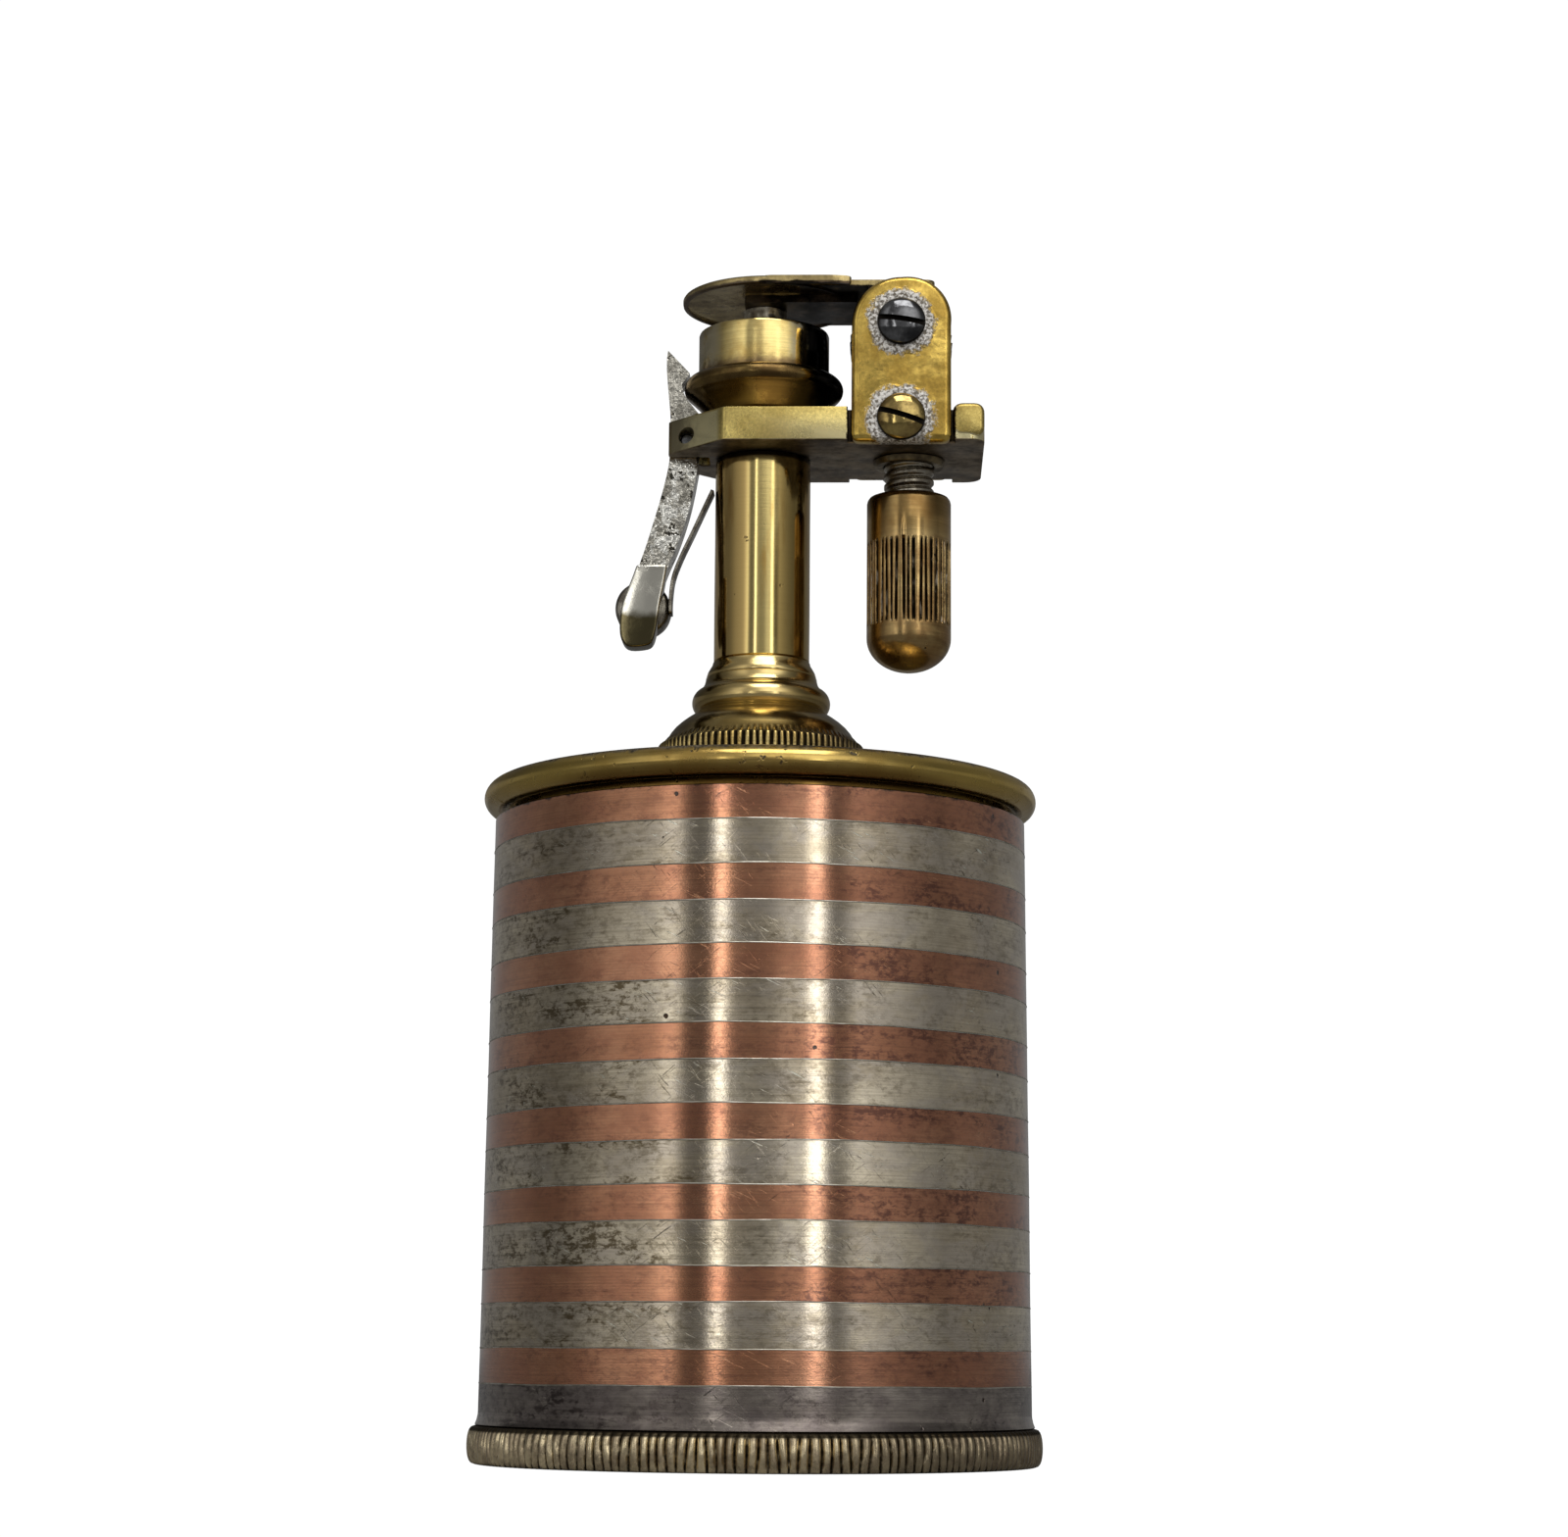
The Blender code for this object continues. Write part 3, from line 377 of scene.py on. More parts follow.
class Nodes:
    """The node tree of a material or of the world, with one short call for each kind of node."""

    def __init__(self, owner):
        self.owner = owner
        owner.use_nodes = True
        self.tree = owner.node_tree
        self.shader = self.tree.nodes.get("Principled BSDF")
        self.place = self.made("TexCoord").outputs["Object"]

    def made(self, kind):
        return self.tree.nodes.new(f"ShaderNode{kind}")

    def feed(self, node, inputs):
        """Gives each named input a number, a colour, a vector or another node's output; None is left out."""
        for name, value in inputs.items():
            socket = node.inputs[name]
            if isinstance(value, (int, float)):
                socket.default_value = value
            elif isinstance(value, tuple):
                socket.default_value = (*value, 1.0)[: len(socket.default_value)]
            elif value is not None:
                self.tree.links.new(value, socket)
        return node

    def scaled(self, scale, offset, lean=0.0):
        """The place, turned about Y by lean degrees and then stretched per axis."""
        turned = self.made("VectorRotate")
        turned.rotation_type = "Y_AXIS"
        self.feed(turned, {"Angle": math.radians(lean), "Vector": self.place})
        per_axis = scale if isinstance(scale, tuple) else (scale, scale, scale)
        inputs = {"Scale": tuple(each / MM for each in per_axis), "Location": offset}
        inputs["Vector"] = turned.outputs["Vector"]
        return self.feed(self.made("Mapping"), inputs).outputs["Vector"]

    def noise(self, scale, detail=4.0, roughness=0.55, distortion=0.0, offset=(0.0, 0.0, 0.0), lean=0.0):
        """Noise whose scale is one number, or one per axis for grain that runs one way."""
        inputs = {"Scale": 1.0, "Detail": detail, "Roughness": roughness, "Distortion": distortion}
        inputs["Vector"] = self.scaled(scale, offset, lean)
        return self.feed(self.made("TexNoise"), inputs).outputs["Fac"]

    def cells(self, scale, offset):
        """The distance from the nearest of many scattered points."""
        inputs = {"Scale": 1.0, "Randomness": 1.0, "Vector": self.scaled(scale, offset)}
        return self.feed(self.made("TexVoronoi"), inputs).outputs["Distance"]

    def ramp(self, value, low, high, out_low=0.0, out_high=1.0, smooth=True):
        node = self.made("MapRange")
        node.interpolation_type = "SMOOTHSTEP" if smooth else "LINEAR"
        inputs = {"Value": value, "From Min": low, "From Max": high, "To Min": out_low, "To Max": out_high}
        return self.feed(node, inputs).outputs["Result"]

    def band(self, value, start, full, fade, end):
        """0 before start, 1 from full to fade, 0 after end."""
        return self.mul(self.ramp(value, start, full), self.ramp(value, end, fade))

    def math(self, operation, a, b=None, c=None):
        node = self.made("Math")
        node.operation = operation
        return self.feed(node, {0: a, 1: b, 2: c}).outputs["Value"]

    def mul(self, a, b):
        return self.math("MULTIPLY", a, b)

    def mad(self, a, b, c):
        """a times b, plus c."""
        return self.math("MULTIPLY_ADD", a, b, c)

    def add(self, a, b):
        return self.math("ADD", a, b)

    def sub(self, a, b):
        return self.math("SUBTRACT", a, b)

    def max(self, a, b):
        return self.math("MAXIMUM", a, b)

    def mix(self, share, a, b):
        """Mixes two colours, each a tuple or an output."""
        node = self.made("Mix")
        node.data_type = "RGBA"
        return self.feed(node, {"Factor": share, 6: a, 7: b}).outputs[2]

    def axis(self, which):
        return self.feed(self.made("SeparateXYZ"), {"Vector": self.place}).outputs[which]

    def mm(self, which):
        """The place along an axis, in millimetres."""
        return self.math("DIVIDE", self.axis(which), MM)

    def height(self):
        return self.mm("Z")

    def aside(self, which="X"):
        """How far the place is from 0 along an axis, in millimetres."""
        return self.math("ABSOLUTE", self.mm(which))

    def grooves(self, count, centre_x, waves):
        """1 in the grooves of a knurl cut round an upright axis, 0 on its lands, as the mesh has them."""
        angle = self.math("ARCTAN2", self.mm("Y"), self.sub(self.mm("X"), centre_x))
        phase = self.mul(angle, count)
        for amplitude, frequency, rise in waves:
            wave = self.math("SINE", self.mad(self.height(), rise, self.mul(angle, frequency)))
            phase = self.add(phase, self.mul(wave, 2 * math.pi * amplitude))
        return self.mad(self.math("COSINE", phase), 0.5, 0.5)

    def edges(self, radius):
        """1 on worn convex edges, 0 elsewhere."""
        return self.ramp(self.made("NewGeometry").outputs["Pointiness"], 0.5 + radius, 0.5 + 3 * radius)

    def hollows(self, radius):
        """1 in creases, 0 elsewhere."""
        return self.ramp(self.made("NewGeometry").outputs["Pointiness"], 0.5 - radius, 0.5 - 4 * radius)

    def bump(self, height, strength, distance, below=None):
        inputs = {"Strength": strength, "Distance": distance, "Height": height, "Normal": below}
        return self.feed(self.made("Bump"), inputs).outputs["Normal"]

    def dented(self, spots, strength, distance, below):
        """The normal below, pressed in where spots is 1."""
        return self.bump(self.sub(1.0, spots), strength, distance, below)

    def finish(self, colour, roughness, normal, metallic=1.0):
        inputs = {"Base Color": colour, "Roughness": roughness, "Metallic": metallic, "Normal": normal}
        self.feed(self.shader, inputs)
        return self.owner

    def shown_white(self, shader, white, output):
        """Shows the camera the white shader, and every other ray the plain one."""
        seen = self.made("LightPath").outputs["Is Camera Ray"]
        mixer = self.feed(self.made("MixShader"), {0: seen, 1: shader.outputs[0], 2: white.outputs[0]})
        self.feed(self.tree.nodes[output], {"Surface": mixer.outputs[0]})


def metal(
    name, light, dark, rough=(0.25, 0.4), grain=None, grain_depth=0.004, grain_shade=0.35, blotch=0.12,
    blotch_span=(0.38, 0.62), pits=None, pit_colour=(0.05, 0.04, 0.03), pit_size=3.0, dirt=0.0,
    wear=0.0, wear_colour=(0.85, 0.78, 0.6), seed=0.0, waves=0.0, wave_size=0.5,
):
    """Worn metal: blotches of two colours, brushed grain, small pits, dirt in creases, rubbed edges.

    Sizes are features per millimetre, depths are millimetres.
    """
    n = Nodes(bpy.data.materials.new(name))
    shift = (seed * 3.7, seed * 1.9, seed * 5.3)
    cloud = n.ramp(n.noise(blotch, 6.0, 0.62, offset=shift), *blotch_span)
    colour = n.mix(cloud, dark, light)
    rough_value = n.ramp(cloud, 0.0, 1.0, rough[1], rough[0], smooth=False)
    normal = None
    if waves:
        normal = n.bump(n.noise(wave_size, 2.0, offset=shift), 1.0, waves * MM)
    if grain:
        fine = n.noise(grain, 5.0, 0.7, offset=shift)
        shade = n.ramp(fine, 0.3, 0.7, 1.0 - grain_shade, 1.0 + grain_shade * 0.4, smooth=False)
        scale = n.made("VectorMath")
        scale.operation = "SCALE"
        colour = n.feed(scale, {0: colour, "Scale": shade}).outputs["Vector"]
        normal = n.bump(fine, 1.0, grain_depth * MM, normal)
    if pits:
        spots = n.ramp(n.noise(pit_size, 3.0, 0.6, offset=shift), 0.74 - pits, 0.80 - pits)
        colour = n.mix(spots, colour, pit_colour)
        rough_value = n.add(rough_value, n.mul(spots, 0.3))
        normal = n.dented(spots, 1.0, 0.03 * MM, normal)
    if dirt:
        crease = n.hollows(dirt)
        colour = n.mix(crease, colour, (0.045, 0.035, 0.022))
        rough_value = n.add(rough_value, n.mul(crease, 0.35))
    if wear:
        colour = n.mix(n.edges(wear), colour, wear_colour)
    return n, colour, rough_value, normal


def plain_metal(name, light, dark, metallic=1.0, **rest):
    n, colour, rough_value, normal = metal(name, light, dark, **rest)
    return n.finish(colour, rough_value, normal, metallic)


ROUND_GRAIN = (0.05, 0.05, 9.0)
# Black dirt, also used as the painted shadow under the bead.
BLACK_DIRT_AND_SHADOW = (0.05, 0.03, 0.02)
# Black soot, also used as painted shade and painted dark reflections.
BLACK_SOOT_AND_SHADE = (0.012, 0.01, 0.008)
BAND_EDGES = (
    49.4, 46.85, 43.53, 40.89, 37.67, 35.11, 31.92, 29.31, 26.12, 23.5, 20.33, 17.76, 14.55, 11.97, 8.67,
    6.05, 2.9,
)


def banded_metal(name, light, dark, stain, tint, rough, seed, marks, mottle, side, coat=0.0):
    """A ring of the tank: turned grain, cloudy tarnish, slanting scratches and a few small dents.

    The tarnish is heavier towards +X where side is 1, and towards -X where it is -1.  Broad clouds of
    tint lie over the clean metal.
    """
    n, colour, rough_value, normal = metal(
        name, light, dark, rough, ROUND_GRAIN, 0.003, 0.3, 0.09, (0.36, 0.64), seed=seed
    )
    broad = n.ramp(n.noise((0.16, 0.16, 0.3), 7.0, 0.74, 0.4, offset=(seed, 7.0, 1.0)), 0.42, 0.6, 0.0, 0.6)
    colour = n.mix(broad, colour, tint)
    patches = n.ramp(n.noise((0.13, 0.13, 0.4), 5.0, 0.65, offset=(seed, 4.0, 2.0)), 0.42, 0.64)
    speckle = n.ramp(n.noise((1.1, 1.1, 1.9), 7.0, 0.78, 0.3, offset=(1.0, seed, 6.0)), 0.44, 0.62)
    strokes = n.ramp(n.noise((0.2, 0.2, 3.5), 6.0, 0.75, offset=(2.0, seed, 1.0)), 0.50, 0.66)
    cloud = n.mad(speckle, 0.6, n.mul(strokes, 0.4))
    across = n.mul(n.mm("X"), side)
    heavier = n.ramp(across, 1.0, 11.0, 0.5, 1.0)
    cloud = n.mul(cloud, n.mul(heavier, mottle))
    tarnish = n.mul(n.mad(patches, 0.7, 0.3), cloud)
    side_darkening = n.mul(n.ramp(across, 1.0, 6.0, 0.0, 0.27), n.ramp(across, 18.0, 12.0, 0.3, 1.0))
    tarnish = n.math("MINIMUM", n.add(tarnish, side_darkening), 1.0)
    colour = n.mix(tarnish, colour, stain)
    gate = n.ramp(n.noise(0.12, 2.0, offset=(9.0, seed, 0.0)), 0.48, 0.62)
    deep = tuple(channel * 0.3 for channel in dark)
    bright = tuple(min(channel * 1.3, 0.95) for channel in light)
    for lean, tone, place in ((38.0, deep, 1.0), (-52.0, deep, 5.0), (64.0, bright, 8.0)):
        streaks = n.noise((5.5, 1.2, 0.28), 4.0, 0.7, 0.6, offset=(place, seed, place), lean=lean)
        lines = n.ramp(streaks, 0.625, 0.68)
        strength = n.mul(lines, n.mul(gate, marks))
        colour = n.mix(strength, colour, tone)
        normal = n.dented(strength, 0.5, 0.01 * MM, normal)
    dots = n.ramp(n.cells(0.42, offset=(seed, 2.0, seed)), 0.085, 0.055)
    chosen = n.ramp(n.noise(0.3, 1.0, offset=(3.0, 3.0, seed)), 0.58, 0.62)
    dots = n.mul(dots, chosen)
    colour = n.mix(dots, colour, BLACK_DIRT_AND_SHADOW)
    # A dark band at the top of the copper band under the bead: black dirt and painted shadow.
    under_bead = n.mad(n.noise(0.8, 5.0, 0.7), 0.9, n.height())
    colour = n.mix(n.ramp(under_bead, BAND_EDGES[0] + 0.25, BAND_EDGES[0] + 0.5), colour, BLACK_DIRT_AND_SHADOW)
    rough_value = n.mad(tarnish, 0.1, rough_value)
    normal = n.dented(dots, 1.0, 0.05 * MM, normal)
    normal = n.bump(n.noise(7.0, 2.0, 0.6, offset=(seed, seed, 2.0)), 1.0, 0.0026 * MM, normal)
    n.shader.inputs["Coat Weight"].default_value = coat
    n.shader.inputs["Coat Roughness"].default_value = 0.14
    return n.finish(colour, rough_value, normal)


def knurled(
    name, count, waves, zone, centre_x=0.0, span=(0.62, 0.95), darker=None, pale=0.0, clean=None, brown=None,
    slit_shadow=None, shaded_sides=None, **rest,
):
    """Metal with black dirt in its knurl's grooves, some of it dried pale.

    zone is the knurl's (low, high), span what turns a groove's depth into dirt, and darker the X range
    over which painted shade darkens the metal.  Above the Z range clean the metal is rubbed bright, above the
    Z range brown it is stained, and in the Z range slit_shadow it is painted black as a slit's shadow.  Above
    the knurl it turns olive as painted shade further from X 0 than the range shaded_sides.  All ranges are in
    millimetres.
    """
    n, colour, rough_value, normal = metal(name, **rest)
    # Painted shade: darker towards +X over the range darker.
    if darker:
        side_darkening = n.ramp(n.mm("X"), *darker, 0.0, 0.7)
        colour = n.mix(side_darkening, colour, (0.12, 0.09, 0.06))
    if clean:
        colour = n.mix(n.ramp(n.height(), *clean, 0.0, 0.5), colour, (0.95, 0.73, 0.33))
    if brown:
        colour = n.mix(n.ramp(n.height(), *brown, 0.0, 0.5), colour, (0.24, 0.13, 0.03))
    # Painted shade: olive on both sides above the knurl, away from X 0.
    if shaded_sides:
        above = n.ramp(n.height(), zone[1] - 0.2, zone[1], 0.3, 1.0)
        olive = n.mul(n.ramp(n.aside(), *shaded_sides, 0.0, 0.7), above)
        colour = n.mix(olive, colour, (0.20, 0.13, 0.035))
    groove = n.grooves(count, centre_x, waves)
    dirt = n.ramp(n.mad(n.noise(2.2, 4.0, 0.65), 0.5, groove), *span)
    low, high = zone
    dirt = n.mul(dirt, n.band(n.height(), low, low + 0.2, high - 0.2, high))
    # Painted shadow: a black band over a range of heights, where a slit lies; from here the dirt mask also
    # carries it.
    if slit_shadow:
        low, high = slit_shadow
        dirt = n.max(dirt, n.mul(n.band(n.height(), low, low + 0.2, high - 0.03, high), 0.95))
    dry = n.ramp(n.noise((1.7, 1.7, 0.5), 4.0, 0.6, offset=(5.0, 1.0, 2.0)), 0.54, 0.64, 0.0, pale)
    colour = n.mix(dirt, colour, n.mix(dry, (0.02, 0.014, 0.007), (0.62, 0.55, 0.44)))
    rough_value = n.mad(dirt, 0.3, rough_value)
    return n.finish(colour, rough_value, normal)


COPPER = banded_metal(
    "copper", (0.80, 0.385, 0.21), (0.60, 0.26, 0.13), stain=(0.20, 0.075, 0.045), tint=(0.54, 0.22, 0.12),
    rough=(0.05, 0.10), seed=1.0, marks=0.8, mottle=1.8, side=1.0, coat=0.7,
)
SILVER = banded_metal(
    "silver", (0.93, 0.82, 0.62), (0.64, 0.54, 0.39), stain=(0.17, 0.13, 0.075), tint=(0.64, 0.57, 0.49),
    rough=(0.055, 0.11), seed=2.0, marks=1.0, mottle=1.8, side=-1.0,
)
SILVER_FOOT = banded_metal(
    "silver_foot", (0.50, 0.44, 0.38), (0.26, 0.22, 0.19), stain=(0.07, 0.055, 0.05),
    tint=(0.22, 0.18, 0.175), rough=(0.12, 0.24), seed=3.0, marks=1.0, mottle=1.9, side=-1.0,
)
SOLDER = plain_metal(
    "solder", (0.72, 0.70, 0.62), (0.42, 0.40, 0.33), rough=(0.3, 0.45), blotch=0.6, seed=1.0
)
# The tank's tube, seen in the gap under the bead: nearly black, as black dirt and painted shadow.
TUBE_DIRT_AND_SHADOW = plain_metal(
    "tube_dirt_and_shadow", (0.12, 0.09, 0.05), (0.03, 0.02, 0.015), rough=(0.4, 0.6), blotch=0.6, seed=2.0
)
CAP_RIBS = 186
CAP_WAVES = ((0.15, 7, 0.0), (0.1, 31, 0.8), (0.06, 53, -1.1))
FOOT_REEDS = 92
FOOT_WAVES = ((0.1, 5, 0.0), (0.08, 23, 1.0))
REED_TOP = 55.55
CAP_GROOVES = 44
CAP_GROOVE_WAVES = ((0.08, 3, 0.0), (0.14, 13, 0.12), (0.1, 19, -0.2))
CAP_GROOVE_ZONE = (65.3, 72.1)
# The base cap's knurl: painted shade darkens its +X side, and a painted black shadow lies in the slit at its
# top.
KNURL = knurled(
    "knurl", CAP_RIBS, CAP_WAVES, (-1.0, 2.9), span=(0.95, 1.3), slit_shadow=(2.38, 2.9), darker=(4.0, 15.0),
    light=(0.95, 0.79, 0.50), dark=(0.50, 0.40, 0.26),
    rough=(0.16, 0.3), blotch=0.5, grain=2.0, grain_depth=0.006, grain_shade=0.4, seed=3.0,
)


def bead_brass():
    """Brass that is dark and pitted on top, where the hand does not rub it, with painted shade on its lower
    side.
    """
    n, colour, rough_value, normal = metal(
        "bead_brass", (0.66, 0.46, 0.14), (0.46, 0.30, 0.08), (0.16, 0.3), (0.08, 0.08, 5.0), 0.003, 0.3, 0.2,
        pits=0.1, pit_size=1.3, pit_colour=(0.10, 0.08, 0.05), seed=4.0,
    )
    colour = n.mix(n.ramp(n.aside(), 7.0, 17.0, 0.0, 0.6), colour, (0.80, 0.58, 0.15))
    # Painted shade: the bead's lower side is darkened, less so towards its sides.
    low = n.mul(n.ramp(n.height(), 51.1, 50.3, 0.0, 0.85), n.ramp(n.aside(), 17.0, 11.0, 0.4, 1.0))
    colour = n.mix(low, colour, (0.19, 0.10, 0.022))
    ragged = n.mad(n.noise(0.9, 6.0, 0.7), 1.1, n.height())
    top = n.ramp(ragged, 52.35, 52.75)
    grime = n.mix(n.ramp(n.noise(2.5, 5.0, 0.7), 0.4, 0.6), (0.06, 0.05, 0.04), (0.30, 0.25, 0.17))
    colour = n.mix(top, colour, grime)
    return n.finish(colour, n.mad(top, 0.2, rough_value), normal)


BEAD_BRASS = bead_brass()
# The stem foot: painted shade darkens its +X side, and olive painted shade lies on both sides above the
# reeds.
FOOT_BRASS = knurled(
    "foot_brass", FOOT_REEDS, FOOT_WAVES, (50.0, REED_TOP + 0.3), clean=(57.6, 58.6), darker=(2.0, 7.0),
    shaded_sides=(0.8, 4.2), light=(0.78, 0.60, 0.25), dark=(0.56, 0.39, 0.13),
    rough=(0.13, 0.24), grain=(0.12, 0.12, 8.0), grain_depth=0.002, blotch=0.25, dirt=0.035, seed=5.0,
)


def stem_brass():
    """Brass with painted shade: brown at both sides, and black as a painted shadow where it meets the
    platform.
    """
    n, colour, rough_value, normal = metal(
        "stem_brass", (0.84, 0.66, 0.26), (0.52, 0.33, 0.09), (0.1, 0.18), (0.1, 0.1, 10.0), 0.0015, 0.12,
        (0.55, 0.55, 0.09), (0.3, 0.5), pits=0.03, pit_size=0.8, seed=6.0,
    )
    # Painted shade: the +X side of the stem turns dark brown.
    ragged = n.mad(n.noise((0.5, 0.5, 0.12), 5.0, 0.65), 1.2, n.mm("X"))
    colour = n.mix(n.ramp(ragged, 1.5, 2.1, 0.0, 0.7), colour, (0.22, 0.13, 0.03))
    # Painted shade: brown on the -X side.
    left_shade = n.mul(n.ramp(n.mm("X"), -0.5, -1.5, 0.0, 0.5), n.ramp(n.height(), 59.0, 60.0))
    colour = n.mix(left_shade, colour, (0.34, 0.17, 0.045))
    # Painted shadow: black where the stem meets the platform's underside.
    underside = box("platform")[0].z
    colour = n.mix(n.ramp(n.height(), underside - 0.6, underside - 0.35), colour, (0.03, 0.02, 0.01))
    return n.finish(colour, rough_value, normal)


STEM_BRASS = stem_brass()
CAP_BRASS = knurled(
    "cap_brass", CAP_GROOVES, CAP_GROOVE_WAVES, CAP_GROOVE_ZONE, FLINT_AXIS.x, (0.74, 1.0), pale=0.75,
    brown=(72.2, 73.4), light=(0.58, 0.41, 0.175), dark=(0.34, 0.205, 0.08), rough=(0.13, 0.26),
    grain=(0.2, 0.2, 7.0), grain_depth=0.002, grain_shade=0.25, blotch=0.3, pits=0.03, pit_size=1.0, seed=9.0,
)


def screw_metal(name, light, dark, seed):
    """Metal with black dirt and painted shade in the slot and round the rim of a head that stands on an ear.
    """
    n, colour, rough_value, normal = metal(
        name, light, dark, (0.07, 0.18), 4.0, 0.002, 0.3, 0.5, pits=0.05, pit_size=2.0, seed=seed,
        waves=0.04, wave_size=0.8,
    )
    seat = box("rear_ear")[1].y
    # Black dirt and painted shade near the ear: the slot's floor and the head's rim.
    depth = n.aside("Y")
    dirt = n.ramp(depth, seat + 0.55, seat + 0.42)
    colour = n.mix(dirt, colour, BLACK_SOOT_AND_SHADE)
    return n.finish(colour, n.mad(dirt, 0.4, rough_value), normal)


SCREW_BRASS = screw_metal("screw_brass", (0.54, 0.40, 0.14), (0.28, 0.19, 0.07), 10.0)
SCREW_STEEL = screw_metal("screw_steel", (0.20, 0.20, 0.205), (0.05, 0.05, 0.052), 22.0)
DARK_STEEL = plain_metal(
    "dark_steel", (0.24, 0.24, 0.25), (0.09, 0.09, 0.09), rough=(0.1, 0.24), grain=3.0,
    grain_depth=0.003, blotch=0.6, pits=0.05, pit_size=2.4, seed=11.0,
)
THREAD_STEEL = plain_metal(
    "thread_steel", (0.46, 0.42, 0.34), (0.26, 0.22, 0.16), rough=(0.22, 0.36), blotch=0.5,
    grain=(1.0, 1.0, 6.0), grain_depth=0.002, dirt=0.03, wear=0.03, wear_colour=(0.72, 0.69, 0.6), seed=12.0,
)
SPRING_STEEL = plain_metal(
    "spring_steel", (0.42, 0.39, 0.32), (0.16, 0.14, 0.11), rough=(0.2, 0.4), blotch=0.6, grain=3.0,
    grain_depth=0.004, pits=0.05, pit_size=2.0, seed=13.0,
)


THUMB_TOP = (69.4, 70.2)


def lever_nickel():
    """Pitted nickel on the shank, with white flecks of pale crust and painted glints in its lower half; a
    smooth thumb painted pale as a highlight, with olive painted shade at its foot.
    """
    n, colour, rough_value, normal = metal(
        "pitted_nickel", (0.62, 0.59, 0.51), (0.32, 0.30, 0.25), (0.06, 0.16), 3.0, 0.002, 0.15, 0.9,
        (0.36, 0.54), seed=14.0,
    )
    height = n.height()
    shank = n.ramp(height, *THUMB_TOP)
    lumps = n.mul(n.noise(1.5, 3.0, 0.6, offset=(7.0, 2.0, 4.0)), shank)
    normal = n.bump(lumps, 1.0, 0.06 * MM, normal)
    # White flecks low on the shank: pale crust and painted glints.
    crust_and_glints = n.ramp(n.noise((1.0, 1.0, 0.7), 4.0, 0.7, offset=(1.0, 8.0, 3.0)), 0.51, 0.54)
    crust_and_glints = n.mul(crust_and_glints, n.mul(shank, n.ramp(height, 80.5, 77.0)))
    colour = n.mix(crust_and_glints, colour, (0.92, 0.90, 0.82))
    pits = n.mul(n.ramp(n.noise(1.2, 3.0, 0.6, offset=(4.0, 4.0, 9.0)), 0.58, 0.63), shank)
    colour = n.mix(pits, colour, (0.06, 0.056, 0.045))
    normal = n.dented(pits, 1.0, 0.03 * MM, normal)
    # Painted highlight: the whole thumb is pale.
    colour = n.mix(n.sub(1.0, shank), colour, (0.80, 0.77, 0.67))
    # Painted shade: olive at the thumb's foot.
    olive = n.ramp(n.mad(n.noise(0.6, 3.0), 1.4, height), 67.2, 66.4)
    colour = n.mix(olive, colour, (0.12, 0.10, 0.05))
    return n.finish(colour, rough_value, normal)


NICKEL = lever_nickel()
OLD_BRASS = plain_metal(
    "old_brass", (0.30, 0.23, 0.12), (0.10, 0.075, 0.045), rough=(0.25, 0.5), blotch=0.35, grain=2.0,
    grain_depth=0.006, pits=0.05, pit_size=1.2, seed=15.0,
)
HIDDEN_BRASS = plain_metal(
    "hidden_brass", (0.50, 0.37, 0.15), (0.34, 0.24, 0.09), rough=(0.25, 0.4), blotch=0.3,
    grain=(0.3, 0.3, 5.0), grain_depth=0.003, seed=16.0,
)


def cup_brass():
    """Brass painted pale at both sides of the cup as highlights, brown near its foot, black towards the wheel
    with soot and a painted dark reflection.
    """
    n, colour, rough_value, normal = metal(
        "cup_brass", (0.97, 0.76, 0.30), (0.72, 0.50, 0.16), (0.1, 0.2), (0.1, 0.1, 7.0), 0.0015, 0.2, 0.3,
        pits=0.03, pit_size=1.4, seed=21.0,
    )
    cloud = n.noise(0.7, 5.0, 0.65, offset=(3.0, 1.0, 4.0))
    x = n.mm("X")
    # Painted highlights: pale patches at both sides of the cup.
    pale = n.max(n.ramp(x, 1.9, 2.9), n.ramp(x, -2.9, -4.0))
    colour = n.mix(n.mul(pale, n.ramp(cloud, 0.3, 0.55)), colour, (0.84, 0.73, 0.48))
    low = n.mad(cloud, 1.6, n.height())
    colour = n.mix(n.ramp(low, 87.5, 86.5), colour, (0.26, 0.17, 0.08))
    # Black towards the wheel: soot and a painted dark reflection of the wheel.
    sooty = n.ramp(n.mad(cloud, 0.8, x), 3.6, 4.1)
    return n.finish(n.mix(sooty, colour, BLACK_SOOT_AND_SHADE), rough_value, normal)


def flange_brass():
    """Brown heat-stained brass with painted shade on the bowl under its roll, black towards the wheel with
    soot and a painted dark reflection.
    """
    n, colour, rough_value, normal = metal(
        "flange_brass", (0.30, 0.20, 0.066), (0.12, 0.072, 0.026), (0.14, 0.3), (0.1, 0.1, 7.0), 0.0015, 0.2,
        0.25, pits=0.04, pit_size=1.4, seed=8.0,
    )
    # Painted shade: the bowl below the roll is darker.
    roll = n.ramp(n.height(), 84.2, 84.7)
    colour = n.mix(roll, n.mix(0.5, colour, (0.10, 0.06, 0.02)), colour)
    x = n.mm("X")
    # Black towards the wheel: soot and a painted dark reflection of the wheel.
    sooty = n.ramp(n.mad(n.noise(0.7, 5.0, 0.65), 1.0, x), 4.1, 4.9)
    return n.finish(n.mix(sooty, colour, BLACK_SOOT_AND_SHADE), rough_value, normal)


